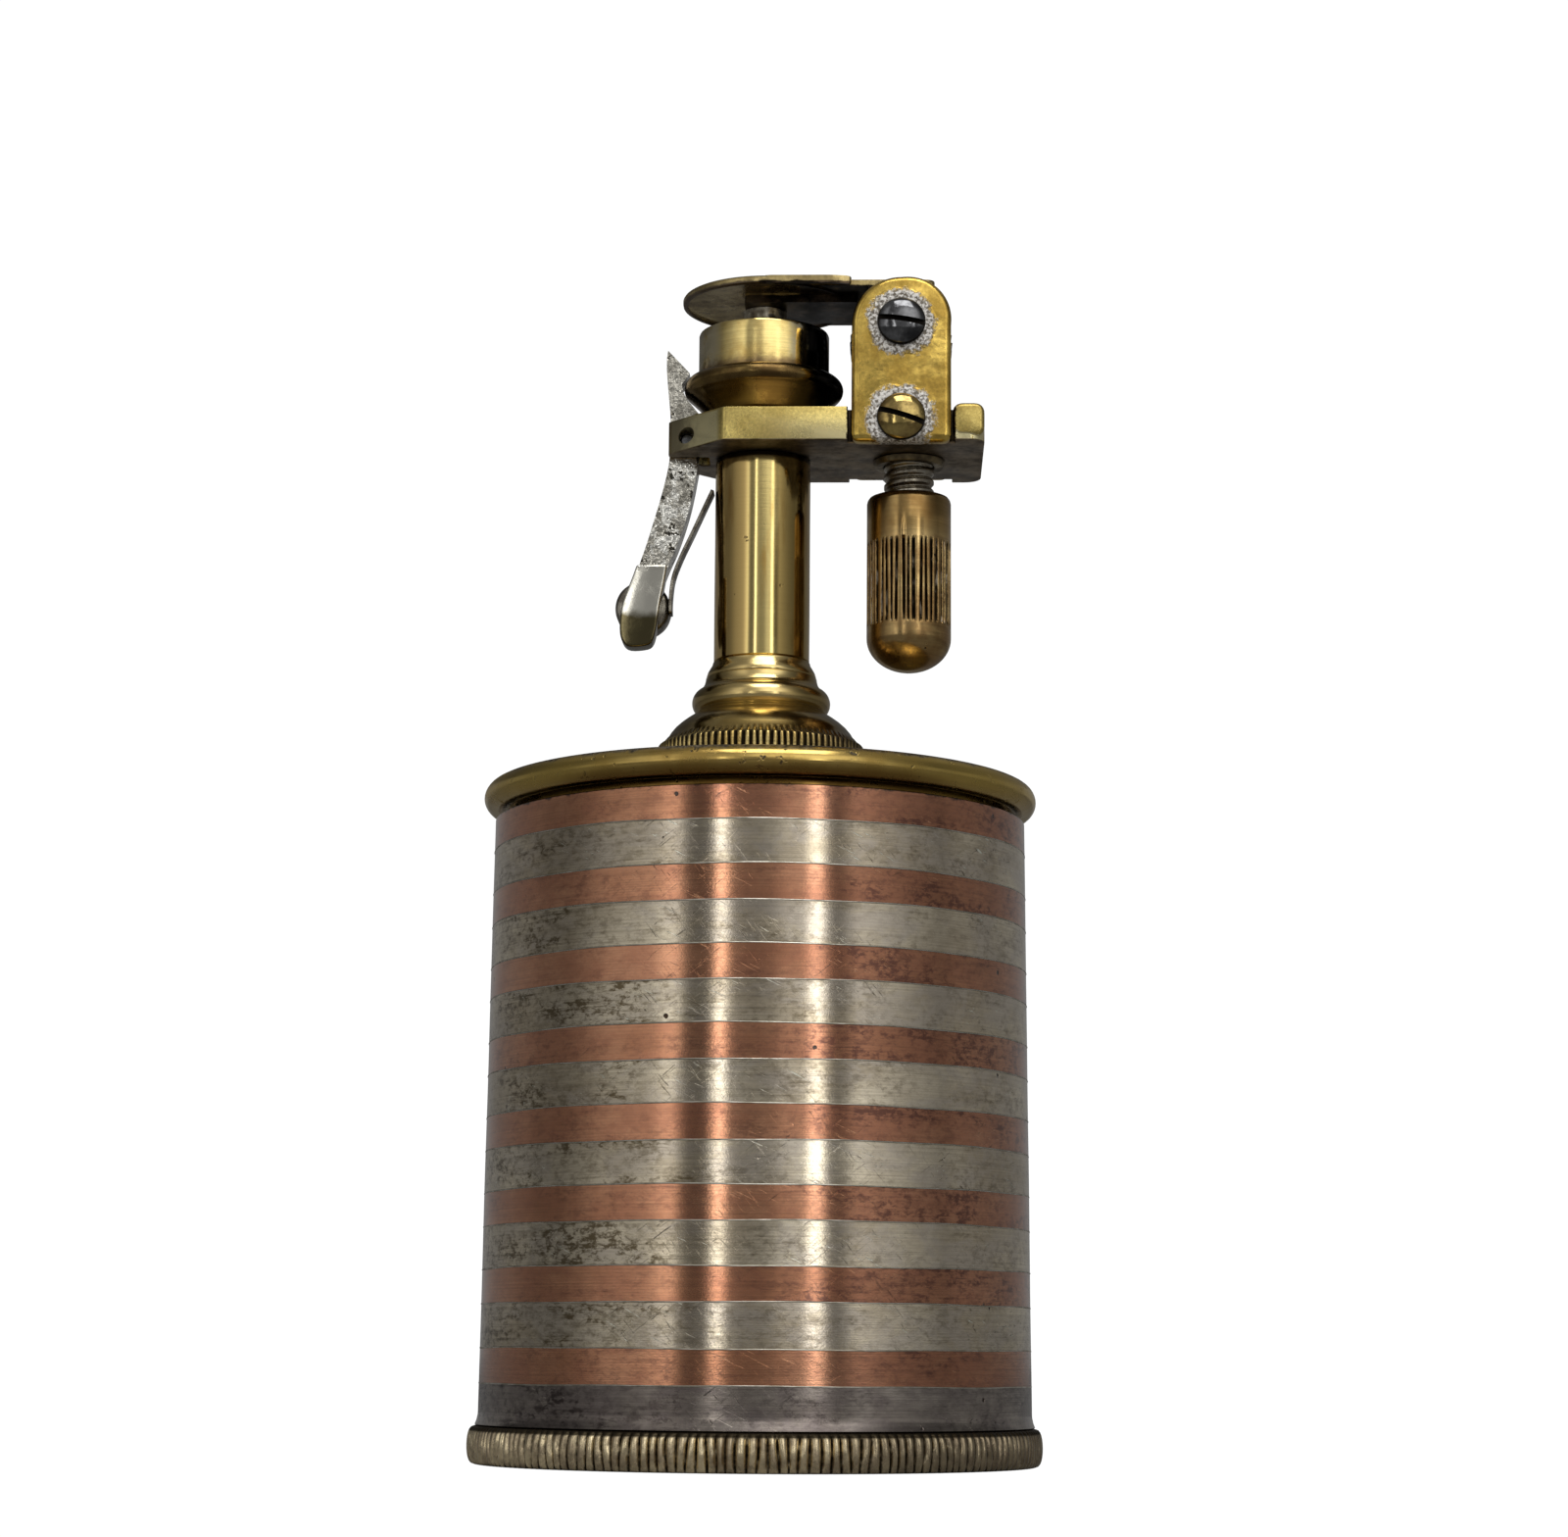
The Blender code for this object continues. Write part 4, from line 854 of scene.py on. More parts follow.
def platform_brass():
    """Brass, clean at the front, stained grey-brown underneath with painted shade there, and painted dark as
    shade round the ears.
    """
    n, colour, rough_value, normal = metal(
        "platform_brass", (0.74, 0.58, 0.19), (0.52, 0.38, 0.11), (0.2, 0.34), 5.0, 0.008, 0.35, 0.25,
        dirt=0.03, wear=0.04, wear_colour=(0.85, 0.75, 0.42), seed=7.0,
    )
    x = n.mm("X")
    ear_low, ear_high = box("front_ear")
    reach = (ear_high.x - ear_low.x) / 2
    # Painted shade: near-black where the platform meets the ears and between them.
    away = n.math("ABSOLUTE", n.sub(x, ear_low.x + reach))
    away = n.mad(n.noise(1.8, 5.0, 0.7), 0.4, away)
    colour = n.mix(n.ramp(away, reach + 0.62, reach + 0.52), colour, (0.035, 0.027, 0.018))
    tarnish = n.ramp(n.mad(n.noise(0.6, 6.0, 0.68), 3.0, x), -3.6, -5.2, 0.0, 0.75)
    colour = n.mix(tarnish, colour, (0.19, 0.155, 0.10))
    # Underneath: stain, scratches and painted shade.
    under = box("platform")[0].z
    stain = n.mix(n.ramp(n.noise(0.5, 6.0, 0.7), 0.35, 0.65), (0.10, 0.07, 0.04), (0.36, 0.29, 0.20))
    scratch = n.ramp(n.noise((0.4, 5.0, 1.0), 4.0, 0.7), 0.62, 0.7)
    stain = n.mix(n.mul(scratch, 0.5), stain, (0.45, 0.38, 0.26))
    below = n.ramp(n.height(), under + 0.14, under + 0.04)
    colour = n.mix(below, colour, stain)
    return n.finish(colour, n.mad(below, 0.15, rough_value), normal)


def sooty_shaded_brass():
    """The arm: brass on top and at the rim, black underneath with soot and painted shade, with rusty patches.
    """
    n, colour, rough_value, normal = metal(
        "sooty_shaded_brass", (0.58, 0.45, 0.20), (0.36, 0.27, 0.12), (0.2, 0.36), 3.0, 0.004, 0.3, 0.35,
        pits=0.04, pit_size=1.3, seed=17.0,
    )
    # Underneath: soot and painted shade, with lighter rusty patches to the left.
    ragged = n.mad(n.noise(1.1, 4.0, 0.6), 0.35, n.height())
    below = n.ramp(ragged, DISC_FLAT + 0.2, DISC_FLAT + 0.05)
    soot = n.mix(n.ramp(n.noise(0.5, 5.0, 0.65), 0.42, 0.7), (0.012, 0.009, 0.007), (0.12, 0.085, 0.055))
    left = n.ramp(n.mad(n.noise(0.6, 5.0, 0.65), 3.0, n.mm("X")), 2.2, -1.0)
    soot = n.mix(n.mul(left, 0.75), soot, (0.20, 0.15, 0.10))
    colour = n.mix(below, colour, soot)
    return n.finish(colour, n.mad(below, 0.1, rough_value), normal)


def ear_brass():
    """Brass with a ring of white-grey corrosion round each screw, dark inside and at its rear as painted
    shade.
    """
    n, colour, rough_value, normal = metal(
        "ear_brass", (0.84, 0.58, 0.135), (0.50, 0.32, 0.065), (0.14, 0.26), 4.0, 0.004, 0.25, 0.4,
        dirt=0.03, seed=20.0, waves=0.035, wave_size=0.7,
    )
    crust = 0.0
    for centre_x, centre_z in SCREW_CENTRES:
        dx = n.sub(n.mm("X"), centre_x)
        dz = n.sub(n.height(), centre_z)
        away = n.math("SQRT", n.mad(dx, dx, n.mul(dz, dz)))
        ragged = n.mad(n.noise(1.3, 6.0, 0.7, offset=(20.0, 0.0, 0.0)), 2.2, away)
        crust = n.max(crust, n.ramp(ragged, SCREW_REACH + 2.05, SCREW_REACH + 1.65))
    grains = n.noise(4.6, 3.0, 0.6, offset=(0.0, 20.0, 0.0))
    white = n.mix(n.ramp(grains, 0.41, 0.57), (0.20, 0.17, 0.13), (0.92, 0.88, 0.82))
    colour = n.mix(crust, colour, white)
    # Painted shade: the ears' inner faces, between the ears, are darkened.
    inner_face = box("rear_ear")[0].y
    depth = n.aside("Y")
    colour = n.mix(n.ramp(depth, inner_face + 0.3, inner_face + 0.1), colour, (0.035, 0.027, 0.02))
    metallic = n.ramp(crust, 0.0, 1.0, 1.0, 0.45, smooth=False)
    normal = n.bump(n.mul(grains, crust), 1.0, 0.07 * MM, normal)
    return n.finish(colour, n.mad(crust, 0.3, rough_value), normal, metallic)


EAR_BRASS = ear_brass()
SOLDER_LUMP = plain_metal(
    "solder_lump", (0.66, 0.60, 0.48), (0.26, 0.22, 0.16), rough=(0.3, 0.5), blotch=0.9, grain=3.0,
    grain_depth=0.02, pits=0.08, pit_size=1.6, seed=19.0,
)


def cloth(name, light, dark, size, depth):
    n = Nodes(bpy.data.materials.new(name))
    strands = n.noise((size, size, size * 0.3), 5.0, 0.7)
    colour = n.mix(n.ramp(strands, 0.3, 0.7), dark, light)
    colour = n.mix(n.ramp(n.noise(0.2, 3.0), 0.45, 0.7), colour, tuple(channel * 0.75 for channel in light))
    return n.finish(colour, 0.9, n.bump(strands, 1.0, depth * MM), 0.0)


COTTON = cloth("cotton", (0.80, 0.76, 0.66), (0.62, 0.57, 0.46), 3.0, 0.15)
LEATHER = cloth("leather", (0.17, 0.10, 0.06), (0.08, 0.05, 0.03), 2.0, 0.08)
FLINT_STONE = plain_metal(
    "flint_stone", (0.16, 0.155, 0.15), (0.07, 0.068, 0.066), metallic=0.4, rough=(0.5, 0.7), blotch=0.9,
    grain=3.0, grain_depth=0.02, seed=18.0,
)


# ---------------------------------------------------------------- tank

ROUND = 256
RIB_STEPS = 6
SOLDER_RADIUS = 0.05
SOLDER_SINK = -0.018


def make_base_cap():
    low, high = box("base_cap")
    radius = high.x
    cap_top, rim_top = 2.5, 2.84
    wall_out, wall_in, plate = 19.2, 18.2, 1.2
    seat = box("base_gasket")[1].x + 0.05
    middle = rim_top / 2
    edge = []
    for angle in range(-84, 85, 14):
        out = math.cos(math.radians(angle)) ** 0.45
        edge.append((radius - 0.85 + 0.85 * out, middle + middle * math.sin(math.radians(angle))))
    start = 4
    under = [(0.0, low.z), (radius - 6.0, low.z), (radius - 2.2, low.z), (radius - 1.2, low.z)]
    over = [(seat + 0.15, rim_top), (seat, rim_top - 0.15), (seat, cap_top), (wall_out, cap_top)]
    threads = []
    for step, z in enumerate(rows_between(cap_top + 0.05, high.z - 0.2, 20)):
        threads.append((wall_out - (0.25 if step % 4 == 2 else 0.0), z))
    inside = [(wall_out - 0.3, high.z), (wall_in, high.z), (wall_in, plate), (0.0, plate)]
    profile = under + edge + over + threads + inside

    def ribbed(reach, z, angle, index):
        if not start <= index < start + len(edge):
            return reach
        groove = groove_depth(turns(angle, z, CAP_RIBS, CAP_WAVES), 2.5)
        level = 1 - abs(z - middle) / middle
        return reach - 0.34 * groove * min(1.0, 0.25 + level * 2.0)

    obj = as_object("base_cap_look", lathe(profile, CAP_RIBS * RIB_STEPS, ribbed))
    finished(obj, "base_cap", KNURL, 50)


def band_reach(z):
    """The sleeve's radius at a height: it widens a little towards the foot."""
    foot, head = box("silver_band_8")[0].z, box("copper_band_1")[1].z
    foot_radius, head_radius = 21.19, 20.79
    return foot_radius + (head_radius - foot_radius) * (z - foot) / (head - foot)


def wavy(z, angle, seed):
    return z + 0.035 * math.sin(3 * angle + seed) + 0.02 * math.sin(11 * angle + seed * 2)


def make_band(name, look, low, high, foot=False):
    """One ring of the tank.  The lowest one is flared at its foot; its other edges are a little wavy."""
    inner = box("fuel_tank")[1].x + 0.06
    edge = 0.06
    flare = 0.22 if foot else 0.0
    outer = [(band_reach(low) - edge + flare, low), (band_reach(low) + flare, low + edge)]
    if foot:
        outer += [(band_reach(low) + flare * 0.45, low + 0.35), (band_reach(low), low + 0.8)]
    outer += [(band_reach(z), z) for z in rows_between(low, high, 6)[1:-1] if not foot or z > low + 0.9]
    outer += [(band_reach(high), high - edge), (band_reach(high) - edge, high)]
    bm = lathe([(inner, low)] + outer + [(inner, high)], ROUND)
    for vert in bm.verts:
        angle = math.atan2(vert.co.y, vert.co.x)
        if vert.co.z < low + 0.1 and not foot:
            vert.co.z = wavy(vert.co.z, angle, low)
        elif vert.co.z > high - 0.1 and high < BAND_EDGES[0] - 1:
            vert.co.z = wavy(vert.co.z, angle, high)
        swell = 1 + 0.0012 * noise.noise(Vector((math.cos(angle) * 2, math.sin(angle) * 2, vert.co.z * 0.12)))
        vert.co.x *= swell
        vert.co.y *= swell
    piece(bm, name, look)


def make_tank():
    pairs = (len(BAND_EDGES) - 1) // 2
    for pair in range(pairs):
        top, middle, bottom = BAND_EDGES[2 * pair : 2 * pair + 3]
        make_band(f"copper_band_{pair + 1}", COPPER, middle, top)
        last = pair == pairs - 1
        make_band(f"silver_band_{pair + 1}", SILVER_FOOT if last else SILVER, bottom, middle, last)
    seams = bmesh.new()
    for z in BAND_EDGES[1:-1]:
        ring = lathe(arc((band_reach(z) + SOLDER_SINK, z), SOLDER_RADIUS, 0.0, 315.0, 8), ROUND)
        for vert in ring.verts:
            vert.co.z = wavy(vert.co.z, math.atan2(vert.co.y, vert.co.x), z)
        mesh = bpy.data.meshes.new("ring")
        ring.to_mesh(mesh)
        ring.free()
        seams.from_mesh(mesh)
        bpy.data.meshes.remove(mesh)
    finished(as_object("solder_seams", seams), "fuel_tank", SOLDER, replaces=False)
    low, high = box("fuel_tank")
    inner, outer = high.x - 0.7, high.x
    tube = softened(rectangle(inner, low.z, outer, high.z), 0.08)
    piece(lathe(tube, ROUND), "fuel_tank", TUBE_DIRT_AND_SHADOW)


def make_cover():
    low, high = box("top_cover")
    bead = 1.16
    centre = (high.x - bead, high.z - bead)
    deck = 52.0
    under = 51.2
    hole = 6.3
    spigot_in, spigot_out = 18.6, 19.4
    spigot = [(spigot_in, under), (spigot_in, low.z), (spigot_out, low.z)]
    roll = arc(centre, bead, -150.0, 118.0, 28)
    roll[0] = (spigot_out, roll[0][1])
    groove = [(19.75, deck - 0.12), (19.4, deck - 0.1), (19.0, deck)]
    profile = [(hole, under)] + spigot + roll + groove + [(12.0, deck + 0.02), (hole, deck)]

    def dented(radius, z, angle, index):
        return radius * (1 + 0.0011 * noise.noise(Vector((math.cos(angle) * 3, math.sin(angle) * 3, z))))

    piece(lathe(profile, ROUND, dented), "top_cover", BEAD_BRASS)
    low, high = box("filler_neck")
    neck, bore, flange = 6.2, 4.2, high.x
    top = under - 0.1
    profile = [(bore, low.z), (flange, low.z), (flange, top), (neck, top), (neck, top + 1.0)]
    profile += thread_profile(neck, 0.18, top + 1.0, high.z - 0.2, 0.75)
    profile += [(neck - 0.15, high.z), (bore, high.z)]
    piece(lathe(profile, 96), "filler_neck", HIDDEN_BRASS)


def thread_profile(radius, depth, low, high, pitch):
    """The zigzag of a thread's turns, taken as rings."""
    points = []
    for step in range(int((high - low) / (pitch / 2))):
        points.append((radius - depth * (step % 2), low + step * pitch / 2))
    return points


def make_filling():
    low, high = box("cotton_wadding")
    radius, channel = high.x, 1.6
    profile = [(channel, low.z)] + [(radius * share, low.z) for share in (0.4, 0.7, 0.9)]
    profile += [(radius, z) for z in rows_between(low.z + 0.6, high.z - 0.6, 36)]
    profile += [(radius * share, high.z) for share in (0.9, 0.7, 0.4)] + [(channel, high.z)]
    bm = lathe(profile, 96)
    for vert in bm.verts:
        reach = math.hypot(vert.co.x, vert.co.y)
        if reach < channel + 0.5:
            continue
        lump = 0.6 * noise.noise(vert.co / 3.5) + 0.3 * noise.noise(vert.co / 1.3)
        share = (reach - 0.75 + lump - 0.1) / reach
        vert.co.x *= share
        vert.co.y *= share
    piece(bm, "cotton_wadding", COTTON, 60)
    low, high = box("wick")
    radius = high.x
    profile = [(0.0, low.z)] + [(radius, z) for z in rows_between(low.z + 0.1, high.z - 0.2, 150)]
    profile += [(radius * 0.75, high.z - 0.08), (0.0, high.z - 0.15)]

    def braided(reach, z, angle, index):
        one = abs(math.sin(2.5 * angle + z * 1.7))
        other = abs(math.sin(2.5 * angle - z * 1.7))
        return reach * (0.87 + 0.13 * max(one, other) ** 0.7)

    piece(lathe(profile, 48, braided), "wick", COTTON, 60)


def make_gaskets():
    for name, inner in (("base_gasket", 19.35), ("filler_gasket", 6.5)):
        low, high = box(name)
        outline = rectangle(inner, low.z, high.x, high.z)
        piece(lathe(softened(outline, 0.08), 128), name, LEATHER)


# ---------------------------------------------------------------- stem

STEM_REACH = 3.8


def make_stem():
    low, high = box("stem_foot")
    radius = high.x
    base = low.z
    ring = [(radius - 0.25, base), (radius, base + 0.2), (radius, base + 1.4), (radius, 54.6), (radius, 55.1)]
    ring += [(radius - 0.02, REED_TOP), (radius - 0.12, REED_TOP + 0.12), (radius - 0.4, REED_TOP + 0.3)]
    reeded = range(1, len(ring))
    cone = [(7.5, 56.15), (7.34, 56.3), (7.15, 56.62), (6.8, 57.05), (6.3, 57.5), (5.8, 57.86), (5.42, 58.1)]
    crease = [(5.2, 58.22), (5.13, 58.3)]
    bulge = arc((4.28, 59.15), 1.2, -44.0, 62.0, 14)
    waist = [(4.66, 60.34), (4.5, 60.62), (4.42, 60.95), (4.4, 61.12), (4.3, 61.2), (4.34, 61.3)]
    collar = [(4.25, 61.6), (4.08, 61.9), (3.92, 62.15), (3.86, high.z)]
    seat, passage, thread, seal = 3.06, 2.3, 6.35, 7.5
    inside = [(seat, high.z), (seat, 58.5), (passage, 58.5), (passage, 54.2), (thread, 54.2), (thread, 52.6)]
    inside += [(seal, 52.6), (seal, base)]
    profile = ring + cone + crease + bulge + waist + collar + inside

    def reeds(reach, z, angle, index):
        if index not in reeded:
            return reach
        groove = groove_depth(turns(angle, z, FOOT_REEDS, FOOT_WAVES), 1.5)
        fade = 1.0 if z < REED_TOP else 0.55
        return reach - 0.2 * groove * fade

    piece(lathe(profile, FOOT_REEDS * 8, reeds), "stem_foot", FOOT_BRASS)

    low, high = box("stem_tube")
    shoulder = 78.94
    start = 62.45
    bore, spigot = 2.0, 3.0
    outer = [(STEM_REACH - 0.12, start), (STEM_REACH, start + 0.12)]
    outer += [(STEM_REACH, z) for z in rows_between(start, shoulder, 12)[1:-1]]
    outer += [(STEM_REACH, shoulder - 0.08), (STEM_REACH - 0.08, shoulder)]
    profile = [(bore, low.z), (spigot, low.z), (spigot, start)] + outer
    profile += [(spigot, shoulder), (spigot, high.z - 0.1), (spigot - 0.1, high.z), (bore, high.z)]
    bm = lathe(profile, 160)
    uneven(bm, 0.012, 4.0, 2, keep=lambda co: math.hypot(co.x, co.y) < STEM_REACH - 0.2)
    piece(bm, "stem_tube", STEM_BRASS)

    low, high = box("wick_tube")
    bore, tube = 1.5, 1.9
    foot = low.z + 0.3
    profile = [(bore, low.z), (high.x, low.z), (high.x, foot - 0.08), (high.x - 0.08, foot)]
    profile += [(tube + 0.15, foot), (tube, foot + 0.15), (tube, high.z - 0.1), (tube - 0.1, high.z)]
    profile += [(bore + 0.05, high.z), (bore, high.z - 0.05)]
    piece(lathe(profile, 96), "wick_tube", OLD_BRASS)


# ---------------------------------------------------------------- platform, ears and screws

LUMP_RISE = 0.3
THROUGH = (-9.0, 9.0)  # from before the whole head to behind it, along Y


def make_platform():
    low, high = box("platform")
    nose, chamfer, half, chamfer_start = 2.45, 0.35, high.y, -2.9
    right = arc((high.x - 1.3, half - 1.3), 1.3, 0.0, 90.0, 9)
    side = [(low.x, nose - chamfer), (low.x + 0.3, nose), (chamfer_start, half)]
    outline = [(x, -y) for x, y in right[::-1]] + right + side[::-1] + [(x, -y) for x, y in side]
    outline = softened(outline, 0.25)
    above, below = high.z + 1.0, low.z - 1.0
    slot_half, slot_end = 1.35, -4.3
    slot = softened(rectangle(low.x - 2, -slot_half, slot_end, slot_half), 0.3)
    cuts = [prism(slot, below, above, "Z")]
    ear_low, ear_high = box("front_ear")
    gap = 0.3
    depth = 5.74
    for side_sign in (-1, 1):
        near, far = sorted((side_sign * depth, side_sign * (half + 1.0)))
        cuts.append(block((ear_low.x - gap, near, below), (ear_high.x + gap, far, above)))
    obj = as_object("platform_look", prism(outline, low.z, high.z, "Z"))
    combined(obj, "DIFFERENCE", *cuts)
    edge_softening(obj, 0.3, 4)
    lump = rectangle(ear_high.x + 0.12, low.z + 0.3, high.x - 0.02, high.z + LUMP_RISE)
    lump = prism(softened(lump, 0.85, 6), -half - 0.06, -half + 2.4)
    combined(obj, "UNION", rounded_edges(lump, 0.35, 4, 50.0))
    combined(
        obj,
        "DIFFERENCE",
        rod((0.0, 0.0), 3.06, below, above, "Z", 48),
        rod((FLINT_AXIS.x, 0.0), 2.06, below, above, "Z", 48),
        rod(LEVER_PIN_SPOT, 0.65, *THROUGH, sides=48),
    )
    edge_softening(obj, 0.05, 2)
    finished(obj, "platform", platform_brass(), 50)


EAR_SHOULDER = 0.06
REAR_EAR_RISE = 0.5
EAR_ROUNDING = 0.5


def make_ear(name, look):
    low, high = box(name)
    half = (high.x - low.x) / 2
    centre = (low.x + half, high.z - half)
    bottom = low.z if low.y < 0 else low.z + REAR_EAR_RISE
    outline = [(low.x, bottom), (high.x, bottom)]
    for step in range(49):
        angle = math.pi * step / 48
        fuller = EAR_SHOULDER * math.sin(2 * angle) if angle < math.pi / 2 else 0.0
        reach = half * (1 + fuller)
        outline.append((centre[0] + reach * math.cos(angle), centre[1] + reach * math.sin(angle)))
    obj = as_object(f"{name}_look", rounded_plate(softened(outline, 0.7, 6), low.y, high.y, EAR_ROUNDING))
    combined(obj, "DIFFERENCE", *(rod(centre, 1.02, low.y - 1, high.y + 1) for centre in SCREW_CENTRES))
    finished(obj, name, look, 50)
    if low.y < 0:
        for number, centre in enumerate(SCREW_CENTRES, 1):
            make_deposit(f"deposit_{number}", centre, low.y, look, (low.x, high.x, low.z))


def make_deposit(name, centre, face, look, limits):
    """A low rough ring of corrosion round a screw head, lying on the ear."""
    steps = 160
    rows = 7
    bm = bmesh.new()
    rings = []
    for row in range(rows):
        share = row / (rows - 1)
        ring = []
        for step in range(steps):
            angle = 2 * math.pi * step / steps
            spot = Vector((math.cos(angle) * 1.6, math.sin(angle) * 1.6, centre[1]))
            breadth = 1.25 + 0.28 * noise.noise(spot) + 0.16 * noise.noise(spot * 4.1)
            reach = SCREW_REACH - 0.35 + share * breadth
            x = centre[0] + reach * math.cos(angle)
            z = centre[1] + reach * math.sin(angle)
            x = min(max(x, limits[0] + 0.25), limits[1] - 0.25)
            z = max(z, limits[2] + 0.25)
            rise = 0.11 * math.sin(math.pi * min(0.94, 0.22 + share * 0.72))
            rise *= 0.65 + 0.5 * noise.noise(Vector((x * 3.0, z * 3.0, 1.0)))
            if row == rows - 1:
                rise = -0.03
            ring.append(bm.verts.new((x, face - rise, z)))
        rings.append(ring)
    back, behind = [], []
    for buried, ring in ((back, rings[0]), (behind, rings[-1])):
        buried += [bm.verts.new((vert.co.x, face + 0.05, vert.co.z)) for vert in ring]
    skinned(bm, [back, *rings, behind, back], capped=False)
    finished(as_object(name, bm), "front_ear", look, 50, replaces=False)


HEAD_HEIGHT = 0.95
SHANK_RADIUS = 0.95


def make_screw(node, look, centre, side, shank_end, tilt):
    """A domed, slotted screw whose head stands on the ear."""
    seat = abs(box("front_ear")[0].y) + 0.06
    dome = [(SCREW_REACH - 0.04, seat + 0.04), (SCREW_REACH, seat + 0.16), (SCREW_REACH - 0.02, seat + 0.26)]
    for angle in range(8, 90, 6):
        out = math.cos(math.radians(angle))
        up = math.sin(math.radians(angle))
        dome.append((SCREW_REACH * out * 0.995, seat + 0.22 + (HEAD_HEIGHT - 0.22) * up))
    profile = [(0.0, shank_end), (SHANK_RADIUS - 0.1, shank_end), (SHANK_RADIUS, shank_end + 0.1)]
    profile += [(SHANK_RADIUS, seat), (SCREW_REACH - 0.04, seat)] + dome + [(0.0, seat + HEAD_HEIGHT)]
    bm = lathe(profile, 96)
    reach = SCREW_REACH + 0.5
    slot = block((-reach, -0.22, seat + 0.36), (reach, 0.22, seat + 2.0))
    bmesh.ops.rotate(slot, verts=slot.verts, matrix=Matrix.Rotation(math.radians(tilt), 3, "Z"))
    obj = as_object(f"{node}_look", laid_across(bm, centre, side))
    combined(obj, "DIFFERENCE", laid_across(slot, centre, side))
    edge_softening(obj, 0.05, 2, 40)
    finished(obj, node, look, 40)


def make_nut():
    low, high = box("axle_nut")
    bore = (SHANK_RADIUS + 0.06) / math.cos(math.pi / 6)
    profile = rectangle(bore, low.y, SCREW_REACH, high.y)
    obj = as_object("axle_nut_look", laid_across(lathe(profile, 6), AXLE_SPOT, 1))
    edge_softening(obj, 0.12, 3)
    finished(obj, "axle_nut", DARK_STEEL, 40)


# ---------------------------------------------------------------- striker

WHEEL_TEETH = 40


def make_wheel():
    low, high = box("striker_wheel")
    radius = (high.x - low.x) / 2 - 0.32
    bore, edge = 1.1, 0.3
    profile = [(bore, low.y), (radius - 1.2, low.y), (radius - edge, low.y + 0.05), (radius, low.y + edge)]
    profile += [(radius, 0.5 * (low.y + high.y)), (radius, high.y - edge), (radius - edge, high.y - 0.05)]
    profile += [(radius - 1.2, high.y), (bore, high.y)]

    def toothed(reach, z, angle, index):
        if reach < radius - edge - 0.1:
            return reach
        slope = (z - low.y) * 0.12
        phase = (angle * WHEEL_TEETH / (2 * math.pi) + slope) % 1.0
        return reach - 0.28 * phase

    bm = lathe(profile, WHEEL_TEETH * 8, toothed)
    piece(laid_across(bm, AXLE_SPOT, 1), "striker_wheel", DARK_STEEL, 30)

    low, high = box("ratchet_gear")
    teeth, tip = 12, 3.1
    outline = []
    for tooth in range(teeth):
        for turn, drop in ((0.0, 0.0), (0.04, 0.45), (0.25, 0.36), (0.5, 0.25), (0.75, 0.12)):
            angle = 2 * math.pi * (tooth + turn) / teeth
            outline.append((AXLE.x + (tip - drop) * math.cos(angle), AXLE.z + (tip - drop) * math.sin(angle)))
    obj = as_object("ratchet_gear_look", prism(outline, low.y, high.y))
    combined(obj, "DIFFERENCE", rod(AXLE_SPOT, 1.1, low.y - 1, high.y + 1))
    edge_softening(obj, 0.05, 2)
    finished(obj, "ratchet_gear", THREAD_STEEL, 30)

    low, high = box("ratchet_pawl")
    middle = (low.y + high.y) / 2
    half = (high.y - low.y) / 2 - 0.01
    path = curve_through([(8.0, 91.75), (8.4, 91.74), (8.85, 91.7), (9.4, 91.6), (9.98, 91.52)], 5)
    path = [(x, middle, z) for x, z in path]
    section = softened(rectangle(-half, -0.1, half, 0.1), 0.05)
    piece(swept(path, section), "ratchet_pawl", SPRING_STEEL)

    low, high = box("arm_spring")
    wire = 0.15
    spring = coil((AXLE.x, 0.0, AXLE.z), 1.6, wire, 2.0, low.y + wire, high.y - wire, "Y")
    piece(spring, "arm_spring", SPRING_STEEL)


def make_flint():
    low, high = box("flint")
    radius = (high.x - low.x) / 2
    profile = [(0.0, low.z), (radius - 0.1, low.z)]
    profile += [(radius, z) for z in rows_between(low.z + 0.1, high.z - 0.15, 12)]
    profile += [(radius * share, high.z - 0.02) for share in (0.9, 0.6, 0.3)] + [(0.0, high.z - 0.02)]
    bm = on_flint_axis(lathe(profile, 48))
    worn = box("striker_wheel")[0].z
    wheel = (box("striker_wheel")[1].z - worn) / 2
    for vert in bm.verts:
        if vert.co.z > high.z - 0.3:
            reach = abs(vert.co.x - AXLE.x)
            limit = worn + wheel - math.sqrt(max(wheel**2 - reach**2, 0.0)) - 0.08
            vert.co.z = min(vert.co.z, limit)
    uneven(bm, 0.03, 0.6, 5)
    piece(bm, "flint", FLINT_STONE, 60)

    low, high = box("flint_spring")
    wire = 0.15
    spring = coil((FLINT_AXIS.x, 0.0, 0.0), 1.0, wire, 7.0, low.z + wire, high.z - wire)
    piece(spring, "flint_spring", SPRING_STEEL)

    low, high = box("spring_plunger")
    radius = (high.x - low.x) / 2
    profile = [(0.0, low.z), (radius, low.z), (radius, high.z - 0.9), (radius - 0.05, high.z - 0.85)]
    profile += [(radius - 0.05, high.z - 0.4), (radius - 0.35, high.z), (0.0, high.z)]
    plunger = on_flint_axis(lathe(profile, 64))
    piece(plunger, "spring_plunger", HIDDEN_BRASS)


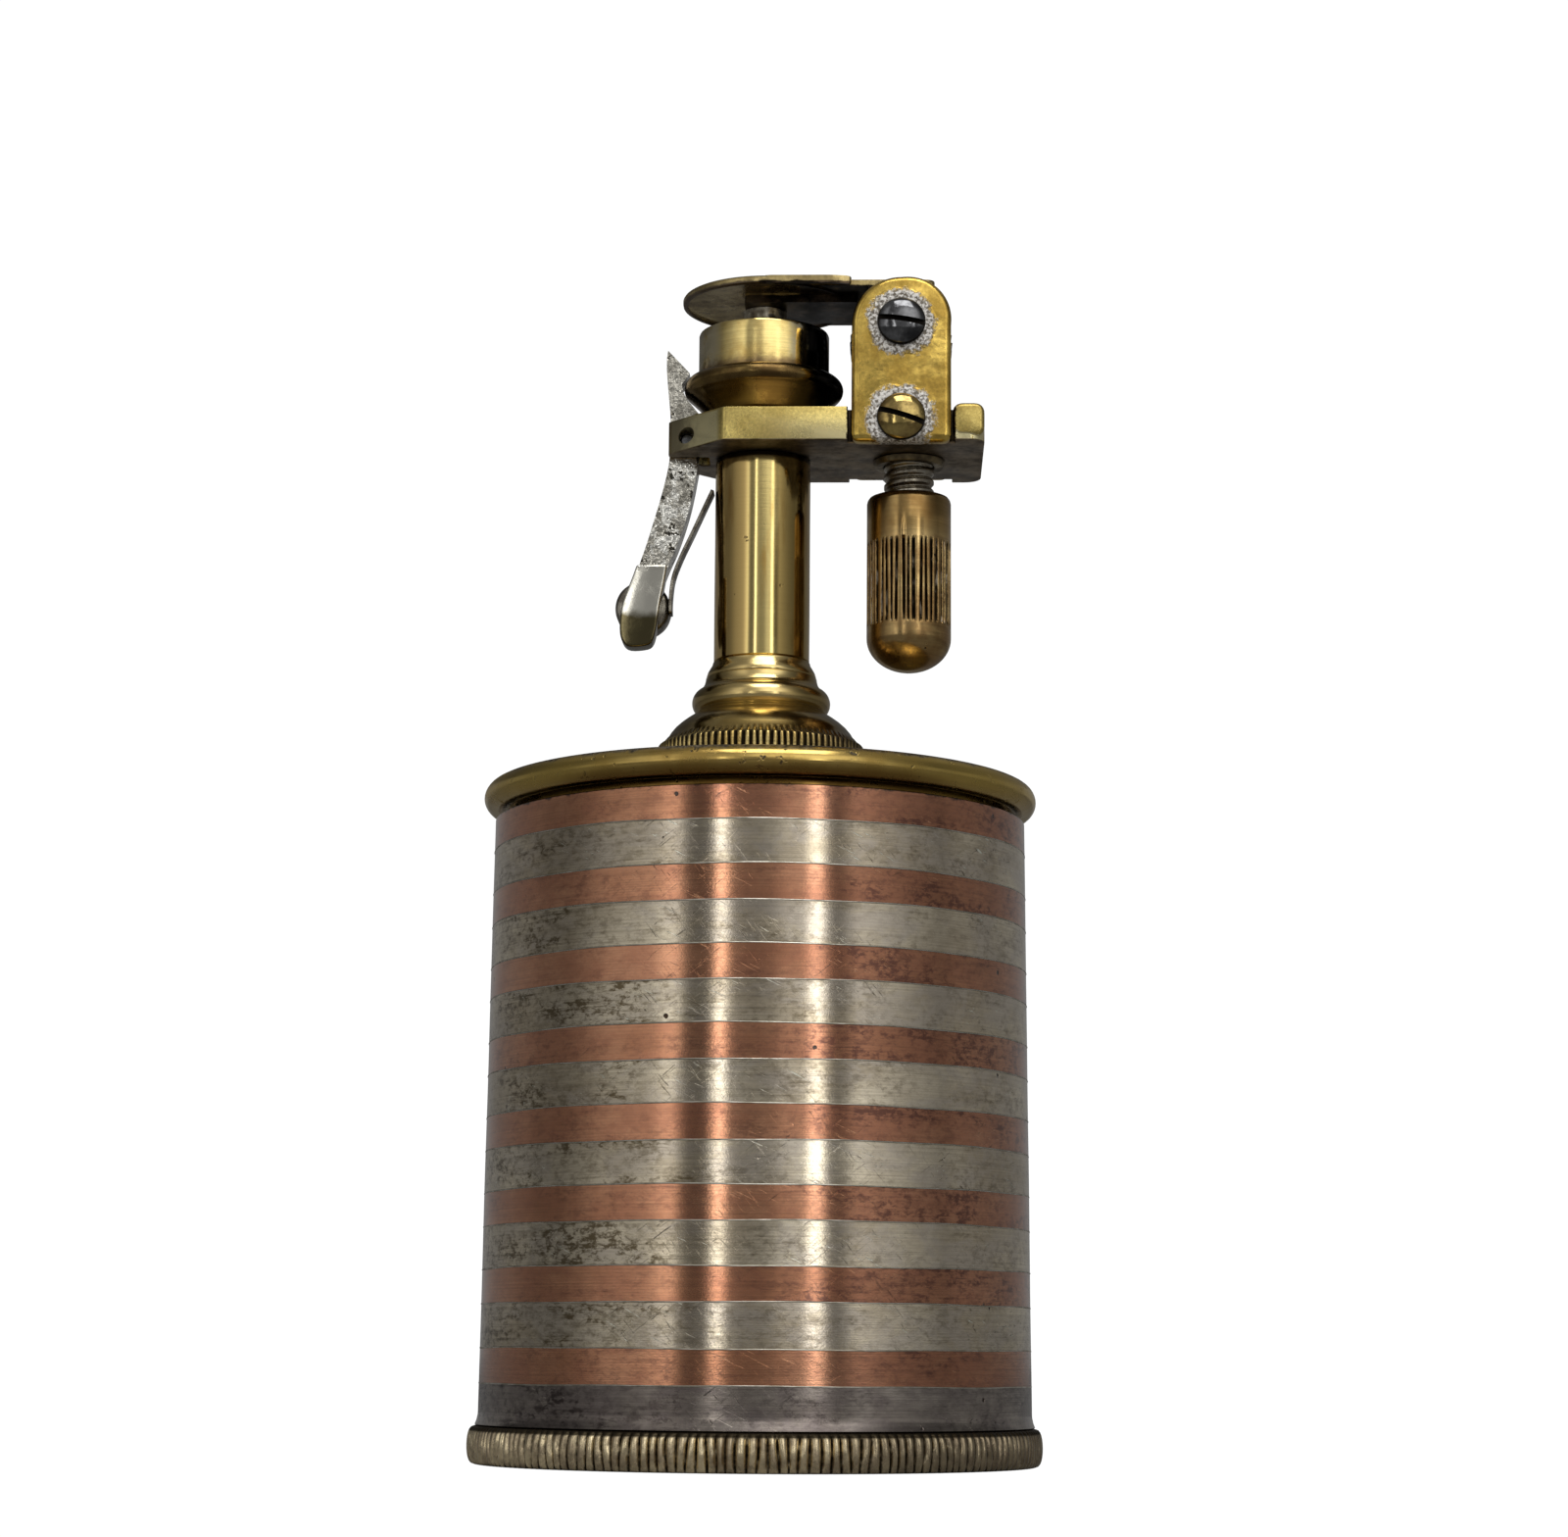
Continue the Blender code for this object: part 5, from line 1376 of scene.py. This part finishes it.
def make_flint_tube():
    """The tube with a real helical thread on its outside."""
    low, high = box("flint_tube")
    bore = 1.42
    radius = (high.x - low.x) / 2
    depth, pitch = 0.2, 0.8
    steps = 96
    thread_top = 79.2
    rows = []
    z = low.z + 0.2
    while z < thread_top:
        rows.append(z)
        z += 0.05
    rows += [thread_top + 0.3, high.z - 0.1]
    profile = [(bore, low.z), (radius - depth, low.z)] + [(radius, z) for z in rows]
    profile += [(radius - 0.1, high.z), (bore, high.z)]

    def threaded(reach, z, angle, index):
        if not low.z + 0.1 < z < thread_top or reach < radius - 0.01:
            return reach
        phase = (z / pitch - angle / (2 * math.pi)) % 1.0
        tooth = max(0.0, min(1.0, 1.6 - 3.6 * abs(phase - 0.5)))
        return reach - depth * (1 - tooth)

    bm = on_flint_axis(lathe(profile, steps, threaded))
    piece(bm, "flint_tube", THREAD_STEEL, 60)

    low, high = box("flint_tube_collar")
    outer = (high.x - low.x) / 2
    profile = softened([(2.06, low.z), (outer - 0.2, low.z), (outer, high.z), (2.06, high.z)], 0.08)
    bm = on_flint_axis(lathe(profile, 64))
    uneven(bm, 0.03, 0.7, 3)
    piece(bm, "flint_tube_collar", OLD_BRASS)


def make_flint_cap():
    low, high = box("flint_cap")
    radius = (high.x - low.x) / 2
    dome_height = 2.7
    start = low.z + dome_height
    dome = [(0.0, low.z)]
    for x, z in arc((0.0, 0.0), 1.0, -84.0, 0.0, 15):
        dome.append((radius * x, start + z * dome_height))
    groove_low, groove_high = CAP_GROOVE_ZONE
    body = [(radius, groove_low - 0.1), (radius, groove_low)]
    body += [(radius, z) for z in rows_between(groove_low, groove_high, 20)[1:]]
    body += [(radius, groove_high + 0.1), (radius, 73.6), (radius, high.z - 0.55)]
    body += [(radius - 0.06, high.z - 0.3), (radius - 0.2, high.z - 0.1), (radius - 0.45, high.z)]
    bore = 2.08
    inside = [(bore + 0.25, high.z), (bore, high.z - 0.25), (bore, 66.5), (0.0, 66.5)]

    def grooved(reach, z, angle, index):
        if reach < radius - 0.01 or not groove_low - 0.4 < z < groove_high + 0.05:
            return reach
        turn = turns(angle, z, CAP_GROOVES, CAP_GROOVE_WAVES)
        ragged = 0.3 * noise.noise(Vector((math.floor(turn + 0.5) * 1.7, 3.0, 0.0)))
        if z < groove_low + 0.25 + ragged or z > groove_high - 0.1 + ragged:
            return reach
        return reach - 0.26 * groove_depth(turn, 3.0)

    bm = on_flint_axis(lathe(dome + body + inside, CAP_GROOVES * 12, grooved))
    piece(bm, "flint_cap", CAP_BRASS, 45)


# ---------------------------------------------------------------- snuffer

ARM_HALF_WIDTH = 5.4


def make_arm():
    """The stamped disc and arm: a turned-down rim, a strap underneath, two cheeks and a wheel window."""
    low, high = box("snuffer_arm")
    centre_x, centre_y, radius = 0.3, 0.3, 6.9
    top, under = high.z, DISC_FLAT
    rim = under - 0.25
    shell = [(0.0, under), (radius - 0.6, under), (radius - 0.4, under - 0.04), (radius - 0.35, rim)]
    shell += [(radius - 0.16, rim), (radius - 0.03, rim + 0.08), (radius, rim + 0.25), (radius, top - 0.18)]
    shell += [(radius - 0.07, top - 0.07), (radius - 0.2, top), (0.0, top)]
    obj = as_object("snuffer_arm_look", moved(lathe(shell, 192), (centre_x, centre_y, 0.0)))
    near_edge = softened([(0.3, -6.6), (5.6, -6.6), (7.08, -6.3), (7.1, -5.2), (0.3, -5.2)], 0.5, 4)
    near_rim = [(0.3, -6.6), (5.6, -6.6), (7.0, -6.3), (6.9, -5.95), (5.5, -6.25), (0.3, -6.25)]
    tail, half = high.x, ARM_HALF_WIDTH
    arm = softened(rectangle(3.0, -half, tail, half), 0.9, 5, keep=(0, 3))
    far_edge = softened([(0.3, 7.0), (3.3, 6.45), (6.9, 5.4), (6.9, 4.0), (0.3, 4.0)], 0.3, 4)
    strap = softened(rectangle(-1.5, -2.85, 7.6, 2.85), 0.4, 4)
    plates = [
        prism(near_edge, under + 0.05, top - 0.01, "Z"),
        prism(softened(near_rim, 0.1), rim + 0.01, top - 0.03, "Z"),
        prism(far_edge, under + 0.03, top - 0.02, "Z"),
        prism(arm, under - 0.12, top - 0.04, "Z"),
        prism(strap, 91.4, under + 0.12, "Z"),
    ]
    for side in (-1, 1):
        around = arc(AXLE_SPOT, 2.3, 200.0, 340.0, 29)
        outline = [(8.4, under + 0.1)] + around + [(13.5, under + 0.1)]
        near, far = sorted((side * (half - 0.9), side * half))
        plates.append(prism(outline, near, far))
    combined(obj, "UNION", *plates)
    window = softened(rectangle(8.3, -2.3, 14.5, 1.42), 0.4, keep=(1, 2))
    combined(obj, "DIFFERENCE", prism(window, 90.5, 94.0, "Z"), rod(AXLE_SPOT, 1.05, *THROUGH))
    edge_softening(obj, 0.06, 3)
    finished(obj, "snuffer_arm", sooty_shaded_brass(), 40)


def make_snuffer():
    low, high = box("snuffer_boss")
    radius = high.x
    profile = [(0.0, low.z), (radius * 0.5, low.z)]
    for share in rows_between(0.0, 1.0, 16):
        profile.append((radius - 0.12 * math.sin(math.pi * share), low.z + (high.z - low.z) * share))
    profile += [(radius * 0.5, high.z), (0.0, high.z)]
    bm = lathe(profile, 96)
    uneven(bm, 0.16, 0.8, 7, keep=lambda co: math.hypot(co.x, co.y) < radius * 0.6)
    piece(bm, "snuffer_boss", SOLDER_LUMP, 60)

    low, high = box("snuffer_cup")
    radius, inner = high.x, 4.55
    edge = 0.22
    profile = [(0.0, high.z - 0.8), (inner - 0.2, high.z - 0.8), (inner, high.z - 1.0), (inner, low.z)]
    profile += [(radius, z) for z in rows_between(low.z, high.z - edge, 6)]
    profile += [(radius - edge * 0.3, high.z - edge * 0.3), (radius - edge, high.z), (2.2, high.z)]
    profile.append((0.0, high.z))
    piece(lathe(profile, 192), "snuffer_cup", cup_brass(), 40)

    low, high = box("snuffer_flange")
    roll_radius = 0.85
    roll = arc((high.x - roll_radius, high.z - roll_radius), roll_radius, -62.0, 96.0, 22)
    bowl = [(3.6, low.z), (3.95, low.z), (4.3, low.z + 0.05), (4.55, low.z + 0.28), (4.8, low.z + 0.62)]
    bowl += [(5.12, low.z + 1.0), (5.5, low.z + 1.35), (5.78, low.z + 1.62)]
    inside = [(inner + 0.06, high.z - 0.02), (inner, high.z - 0.1), (inner, 84.0), (3.6, 82.7)]
    piece(lathe(bowl + roll + inside, 192), "snuffer_flange", flange_brass(), 40)


# ---------------------------------------------------------------- trigger


def make_lever():
    catch = [(-7.69, 87.9), (-5.95, 86.05), (-6.05, 85.78), (-6.55, 85.1), (-6.45, 84.45)]
    inner = [
        (-6.05, 83.75), (-5.45, 83.0), (-4.95, 82.3), (-4.68, 81.5), (-4.72, 80.0), (-5.1, 78.8),
        (-5.3, 77.6), (-5.75, 75.2), (-6.3, 73.2), (-6.85, 71.6), (-7.4, 70.3), (-7.78, 69.3),
    ]
    outer = [
        (-9.85, 70.0), (-9.25, 71.8), (-8.55, 74.2), (-7.95, 76.4), (-7.5, 78.6), (-7.4, 80.6), (-7.42, 82.2),
        (-7.56, 83.8), (-7.76, 86.0), (-7.78, 87.3),
    ]
    outline = catch + curve_through(inner, 4) + [(-10.1, 69.3)] + curve_through(outer, 4)
    low, high = box("trigger_lever")
    half = high.y
    obj = as_object("trigger_lever_look", prism(outline, -half, half))
    thumb = [
        (-7.5, 70.0), (-7.75, 68.4), (-8.0, 67.1), (-8.15, 66.0), (-8.3, 64.8), (-8.65, 63.7), (-9.5, 63.4),
        (-10.6, 63.45), (-11.1, 64.2), (-11.17, 65.6), (-11.0, 66.8), (-10.6, 68.0), (-10.2, 69.1),
        (-9.9, 70.0),
    ]
    combined(obj, "UNION", rounded_edges(prism(curve_through(thumb, 4), low.y, -0.3), 0.7, 5, 50.0))
    combined(obj, "DIFFERENCE", rod(LEVER_PIN_SPOT, 0.61, *THROUGH, sides=24))
    edge_softening(obj, 0.22, 4, 35)
    finished(obj, "trigger_lever", NICKEL, 45)

    low, high = box("lever_pin")
    radius = (high.x - low.x) / 2
    near, far = low.y + 0.45, high.y - 0.45
    profile = [(0.0, near), (radius - 0.12, near), (radius, near + 0.12), (radius, far - 0.12)]
    profile += [(radius - 0.12, far), (0.0, far)]
    pin = laid_across(lathe(profile, 48), LEVER_PIN_SPOT, 1)
    piece(pin, "lever_pin", DARK_STEEL)


def make_thumb_roll():
    low, high = box("thumb_roll")
    radius = (high.x - low.x) / 2
    centre = ((high.x + low.x) / 2, (high.z + low.z) / 2)
    edge = 0.45
    profile = [(0.0, low.y), (radius - edge, low.y)]
    profile += arc((radius - edge, low.y + edge), edge, -80, 0, 6)
    profile += arc((radius - edge, high.y - edge), edge, 0, 80, 6)
    profile += [(radius - edge, high.y), (radius * 0.5, high.y), (0.0, high.y)]
    bm = laid_across(lathe(profile, 96), centre, 1)
    uneven(bm, 0.03, 1.2, 4)
    piece(bm, "thumb_roll", SPRING_STEEL)


def make_leaf_spring():
    low, high = box("lever_spring")
    line = [(-7.28, 66.45), (-7.28, 67.6), (-7.08, 69.3), (-6.48, 71.0), (-5.57, 73.0), (-4.68, 75.0)]
    line.append((-4.02, 76.45))
    path = [(x, 0.0, z) for x, z in curve_through(line, 6)]
    half = high.y
    section = softened(rectangle(-half, -0.13, half, 0.13), 0.07)
    obj = as_object("lever_spring_look", swept(path, section))
    obj.data.shade_smooth()
    obj.data.materials.append(SPRING_STEEL)
    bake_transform(obj)
    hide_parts("lever_spring")


make_base_cap()
make_tank()
make_cover()
make_filling()
make_gaskets()
make_stem()
make_platform()
make_ear("front_ear", EAR_BRASS)
make_ear("rear_ear", EAR_BRASS)
make_screw("front_ear_screw", SCREW_BRASS, SCREW_CENTRES[1], -1, 4.1, -17.0)
make_screw("rear_ear_screw", SCREW_BRASS, SCREW_CENTRES[1], 1, 4.1, 17.0)
make_screw("axle_screw", SCREW_STEEL, AXLE_SPOT, -1, -box("axle_screw")[1].y, -8.0)
make_nut()
make_wheel()
make_flint()
make_flint_tube()
make_flint_cap()
make_arm()
make_snuffer()
make_lever()
make_thumb_roll()
make_leaf_spring()


# ---------------------------------------------------------------- studio

WHITE = (1.0, 1.0, 1.0)
WHITE_LEVEL = 1.05
FLOOR_SIZE = 4.0
FLOOR_GREY = 0.32
FLOOR_DROP = 0.00002


def make_floor():
    bm = bmesh.new()
    for x, y in rectangle(-FLOOR_SIZE, -FLOOR_SIZE, FLOOR_SIZE, FLOOR_SIZE):
        bm.verts.new((x, y, -FLOOR_DROP))
    bm.faces.new(bm.verts)
    mesh = bpy.data.meshes.new("floor")
    bm.to_mesh(mesh)
    bm.free()
    floor = bpy.data.objects.new("floor", mesh)
    bpy.context.scene.collection.objects.link(floor)
    n = Nodes(bpy.data.materials.new("floor_paper"))
    mesh.materials.append(n.finish((FLOOR_GREY, FLOOR_GREY, FLOOR_GREY), 0.9, None, 0.0))
    glow = n.feed(n.made("Emission"), {"Color": WHITE, "Strength": WHITE_LEVEL})
    n.shown_white(n.shader, glow, "Material Output")


def soft_light(name, azimuth, elevation, distance, width, height, power):
    """A panel of light.  Azimuth is counted from the camera's side, positive to its right."""
    light = bpy.data.lights.new(name, "AREA")
    light.shape = "RECTANGLE"
    light.size = width
    light.size_y = height
    light.energy = power
    obj = bpy.data.objects.new(name, light)
    turn = CAMERA_YAW + math.radians(azimuth)
    rise = math.radians(elevation)
    out = Vector((math.sin(turn) * math.cos(rise), -math.cos(turn) * math.cos(rise), math.sin(rise)))
    target = Vector((0.0, 0.0, 0.05))
    obj.location = target + out * distance
    obj.rotation_euler = (-out).to_track_quat("-Z", "Y").to_euler()
    bpy.context.scene.collection.objects.link(obj)


# The room as the object mirrors it: brightness against the azimuth in degrees, counted from the camera's
# side and positive to its right.  Two lamp strips stand at -16 and 24 with dark gaps beside them.  Above
# HIGH_SPAN, the sine of the elevation, HIGH_ROOM takes over, and above CEILING_SPAN the plain ceiling.
ROOM = (
    (-180, 0.20), (-156, 0.20), (-140, 0.18), (-124, 0.19), (-112, 0.18), (-104, 0.15), (-88, 0.16),
    (-78, 0.23), (-66, 0.39), (-52, 0.50), (-45, 0.60), (-38, 1.1), (-35, 1.2), (-32.5, 0.48), (-29.5, 0.17),
    (-24, 0.14), (-19, 0.22), (-17.2, 2.5), (-15.0, 2.5), (-12.8, 0.37), (-6, 0.25), (0, 0.25), (5, 0.29),
    (12, 0.60), (19.8, 0.70), (22.4, 2.4), (25.8, 2.4), (28.3, 0.34), (32.5, 0.17), (36, 0.27), (42, 0.66),
    (54, 0.45), (67, 0.29), (83, 0.19), (93, 0.23), (120, 0.19), (148, 0.20), (180, 0.20),
)
HIGH_ROOM = (
    (-180, 0.08), (-130, 0.06), (-101, 0.10), (-81, 0.12), (-61, 0.32), (-44, 0.75), (-36, 0.85), (-29, 0.30),
    (-20, 0.42), (-12, 0.52), (-5, 0.66), (1, 1.30), (10, 1.45), (26, 1.4), (40, 1.1), (50, 0.5), (61, 0.20),
    (81, 0.10), (120, 0.14), (150, 0.14), (180, 0.08),
)
HIGH_SPAN = (0.25, 0.28)
CEILING_SPAN = (0.55, 0.85)
CEILING = 0.22
ROOM_TOP = 2.5


def make_world():
    """A room that only mirrors: the profiles above, and plain white where the camera sees past the object."""
    world = bpy.data.worlds.new("studio")
    bpy.context.scene.world = world
    n = Nodes(world)
    n.place = n.made("TexCoord").outputs["Generated"]
    azimuth = n.math("ARCTAN2", n.axis("X"), n.mul(n.axis("Y"), -1.0))
    place = n.mad(n.sub(azimuth, CAMERA_YAW), 1 / (2 * math.pi), 0.5)

    def profile_of(room):
        profile = n.made("FloatCurve")
        curve = profile.mapping.curves[0]
        stops = [((azimuth + 180) / 360, level / ROOM_TOP) for azimuth, level in room]
        curve.points[0].location = stops[0]
        curve.points[-1].location = stops[-1]
        for stop in stops[1:-1]:
            curve.points.new(*stop)
        for point in curve.points:
            point.handle_type = "VECTOR"
        profile.mapping.update()
        return n.mul(n.feed(profile, {"Value": place}).outputs["Value"], ROOM_TOP)

    def blended(span, below, above):
        share = n.ramp(n.axis("Z"), *span)
        return n.mad(below, n.sub(1.0, share), n.mul(above, share))

    level = blended(CEILING_SPAN, blended(HIGH_SPAN, profile_of(ROOM), profile_of(HIGH_ROOM)), CEILING)
    mirrored = n.feed(n.tree.nodes["Background"], {"Color": WHITE, "Strength": level})
    plain = n.feed(n.made("Background"), {"Color": WHITE, "Strength": WHITE_LEVEL})
    n.shown_white(mirrored, plain, "World Output")


def make_camera():
    yaw_x = Vector((math.cos(CAMERA_YAW), math.sin(CAMERA_YAW), 0.0))
    yaw_y = Vector((-math.sin(CAMERA_YAW), math.cos(CAMERA_YAW), 0.0))
    right = yaw_x * math.cos(CAMERA_PAN) - yaw_y * math.sin(CAMERA_PAN)
    ahead = yaw_x * math.sin(CAMERA_PAN) + yaw_y * math.cos(CAMERA_PAN)
    up = Vector((0.0, 0.0, 1.0))
    forward = ahead * math.cos(CAMERA_PITCH) + up * math.sin(CAMERA_PITCH)
    upward = up * math.cos(CAMERA_PITCH) - ahead * math.sin(CAMERA_PITCH)
    side = right * math.cos(CAMERA_ROLL) + upward * math.sin(CAMERA_ROLL)
    top = upward * math.cos(CAMERA_ROLL) - right * math.sin(CAMERA_ROLL)
    data = bpy.data.cameras.new("camera")
    data.sensor_width = SENSOR_WIDTH
    data.lens = SENSOR_WIDTH * LENS_PER_WIDTH
    data.clip_start = 0.01
    camera = bpy.data.objects.new("camera", data)
    turn = Matrix((side, top, -forward)).transposed().to_4x4()
    camera.matrix_world = Matrix.Translation((up * CAMERA_HEIGHT - yaw_y * CAMERA_DISTANCE) * MM) @ turn
    bpy.context.scene.collection.objects.link(camera)
    bpy.context.scene.camera = camera


make_floor()
make_world()
soft_light("overhead", azimuth=10.0, elevation=62.0, distance=0.6, width=0.35, height=0.3, power=1.2)
make_camera()
bpy.context.scene.view_settings.view_transform = "Standard"
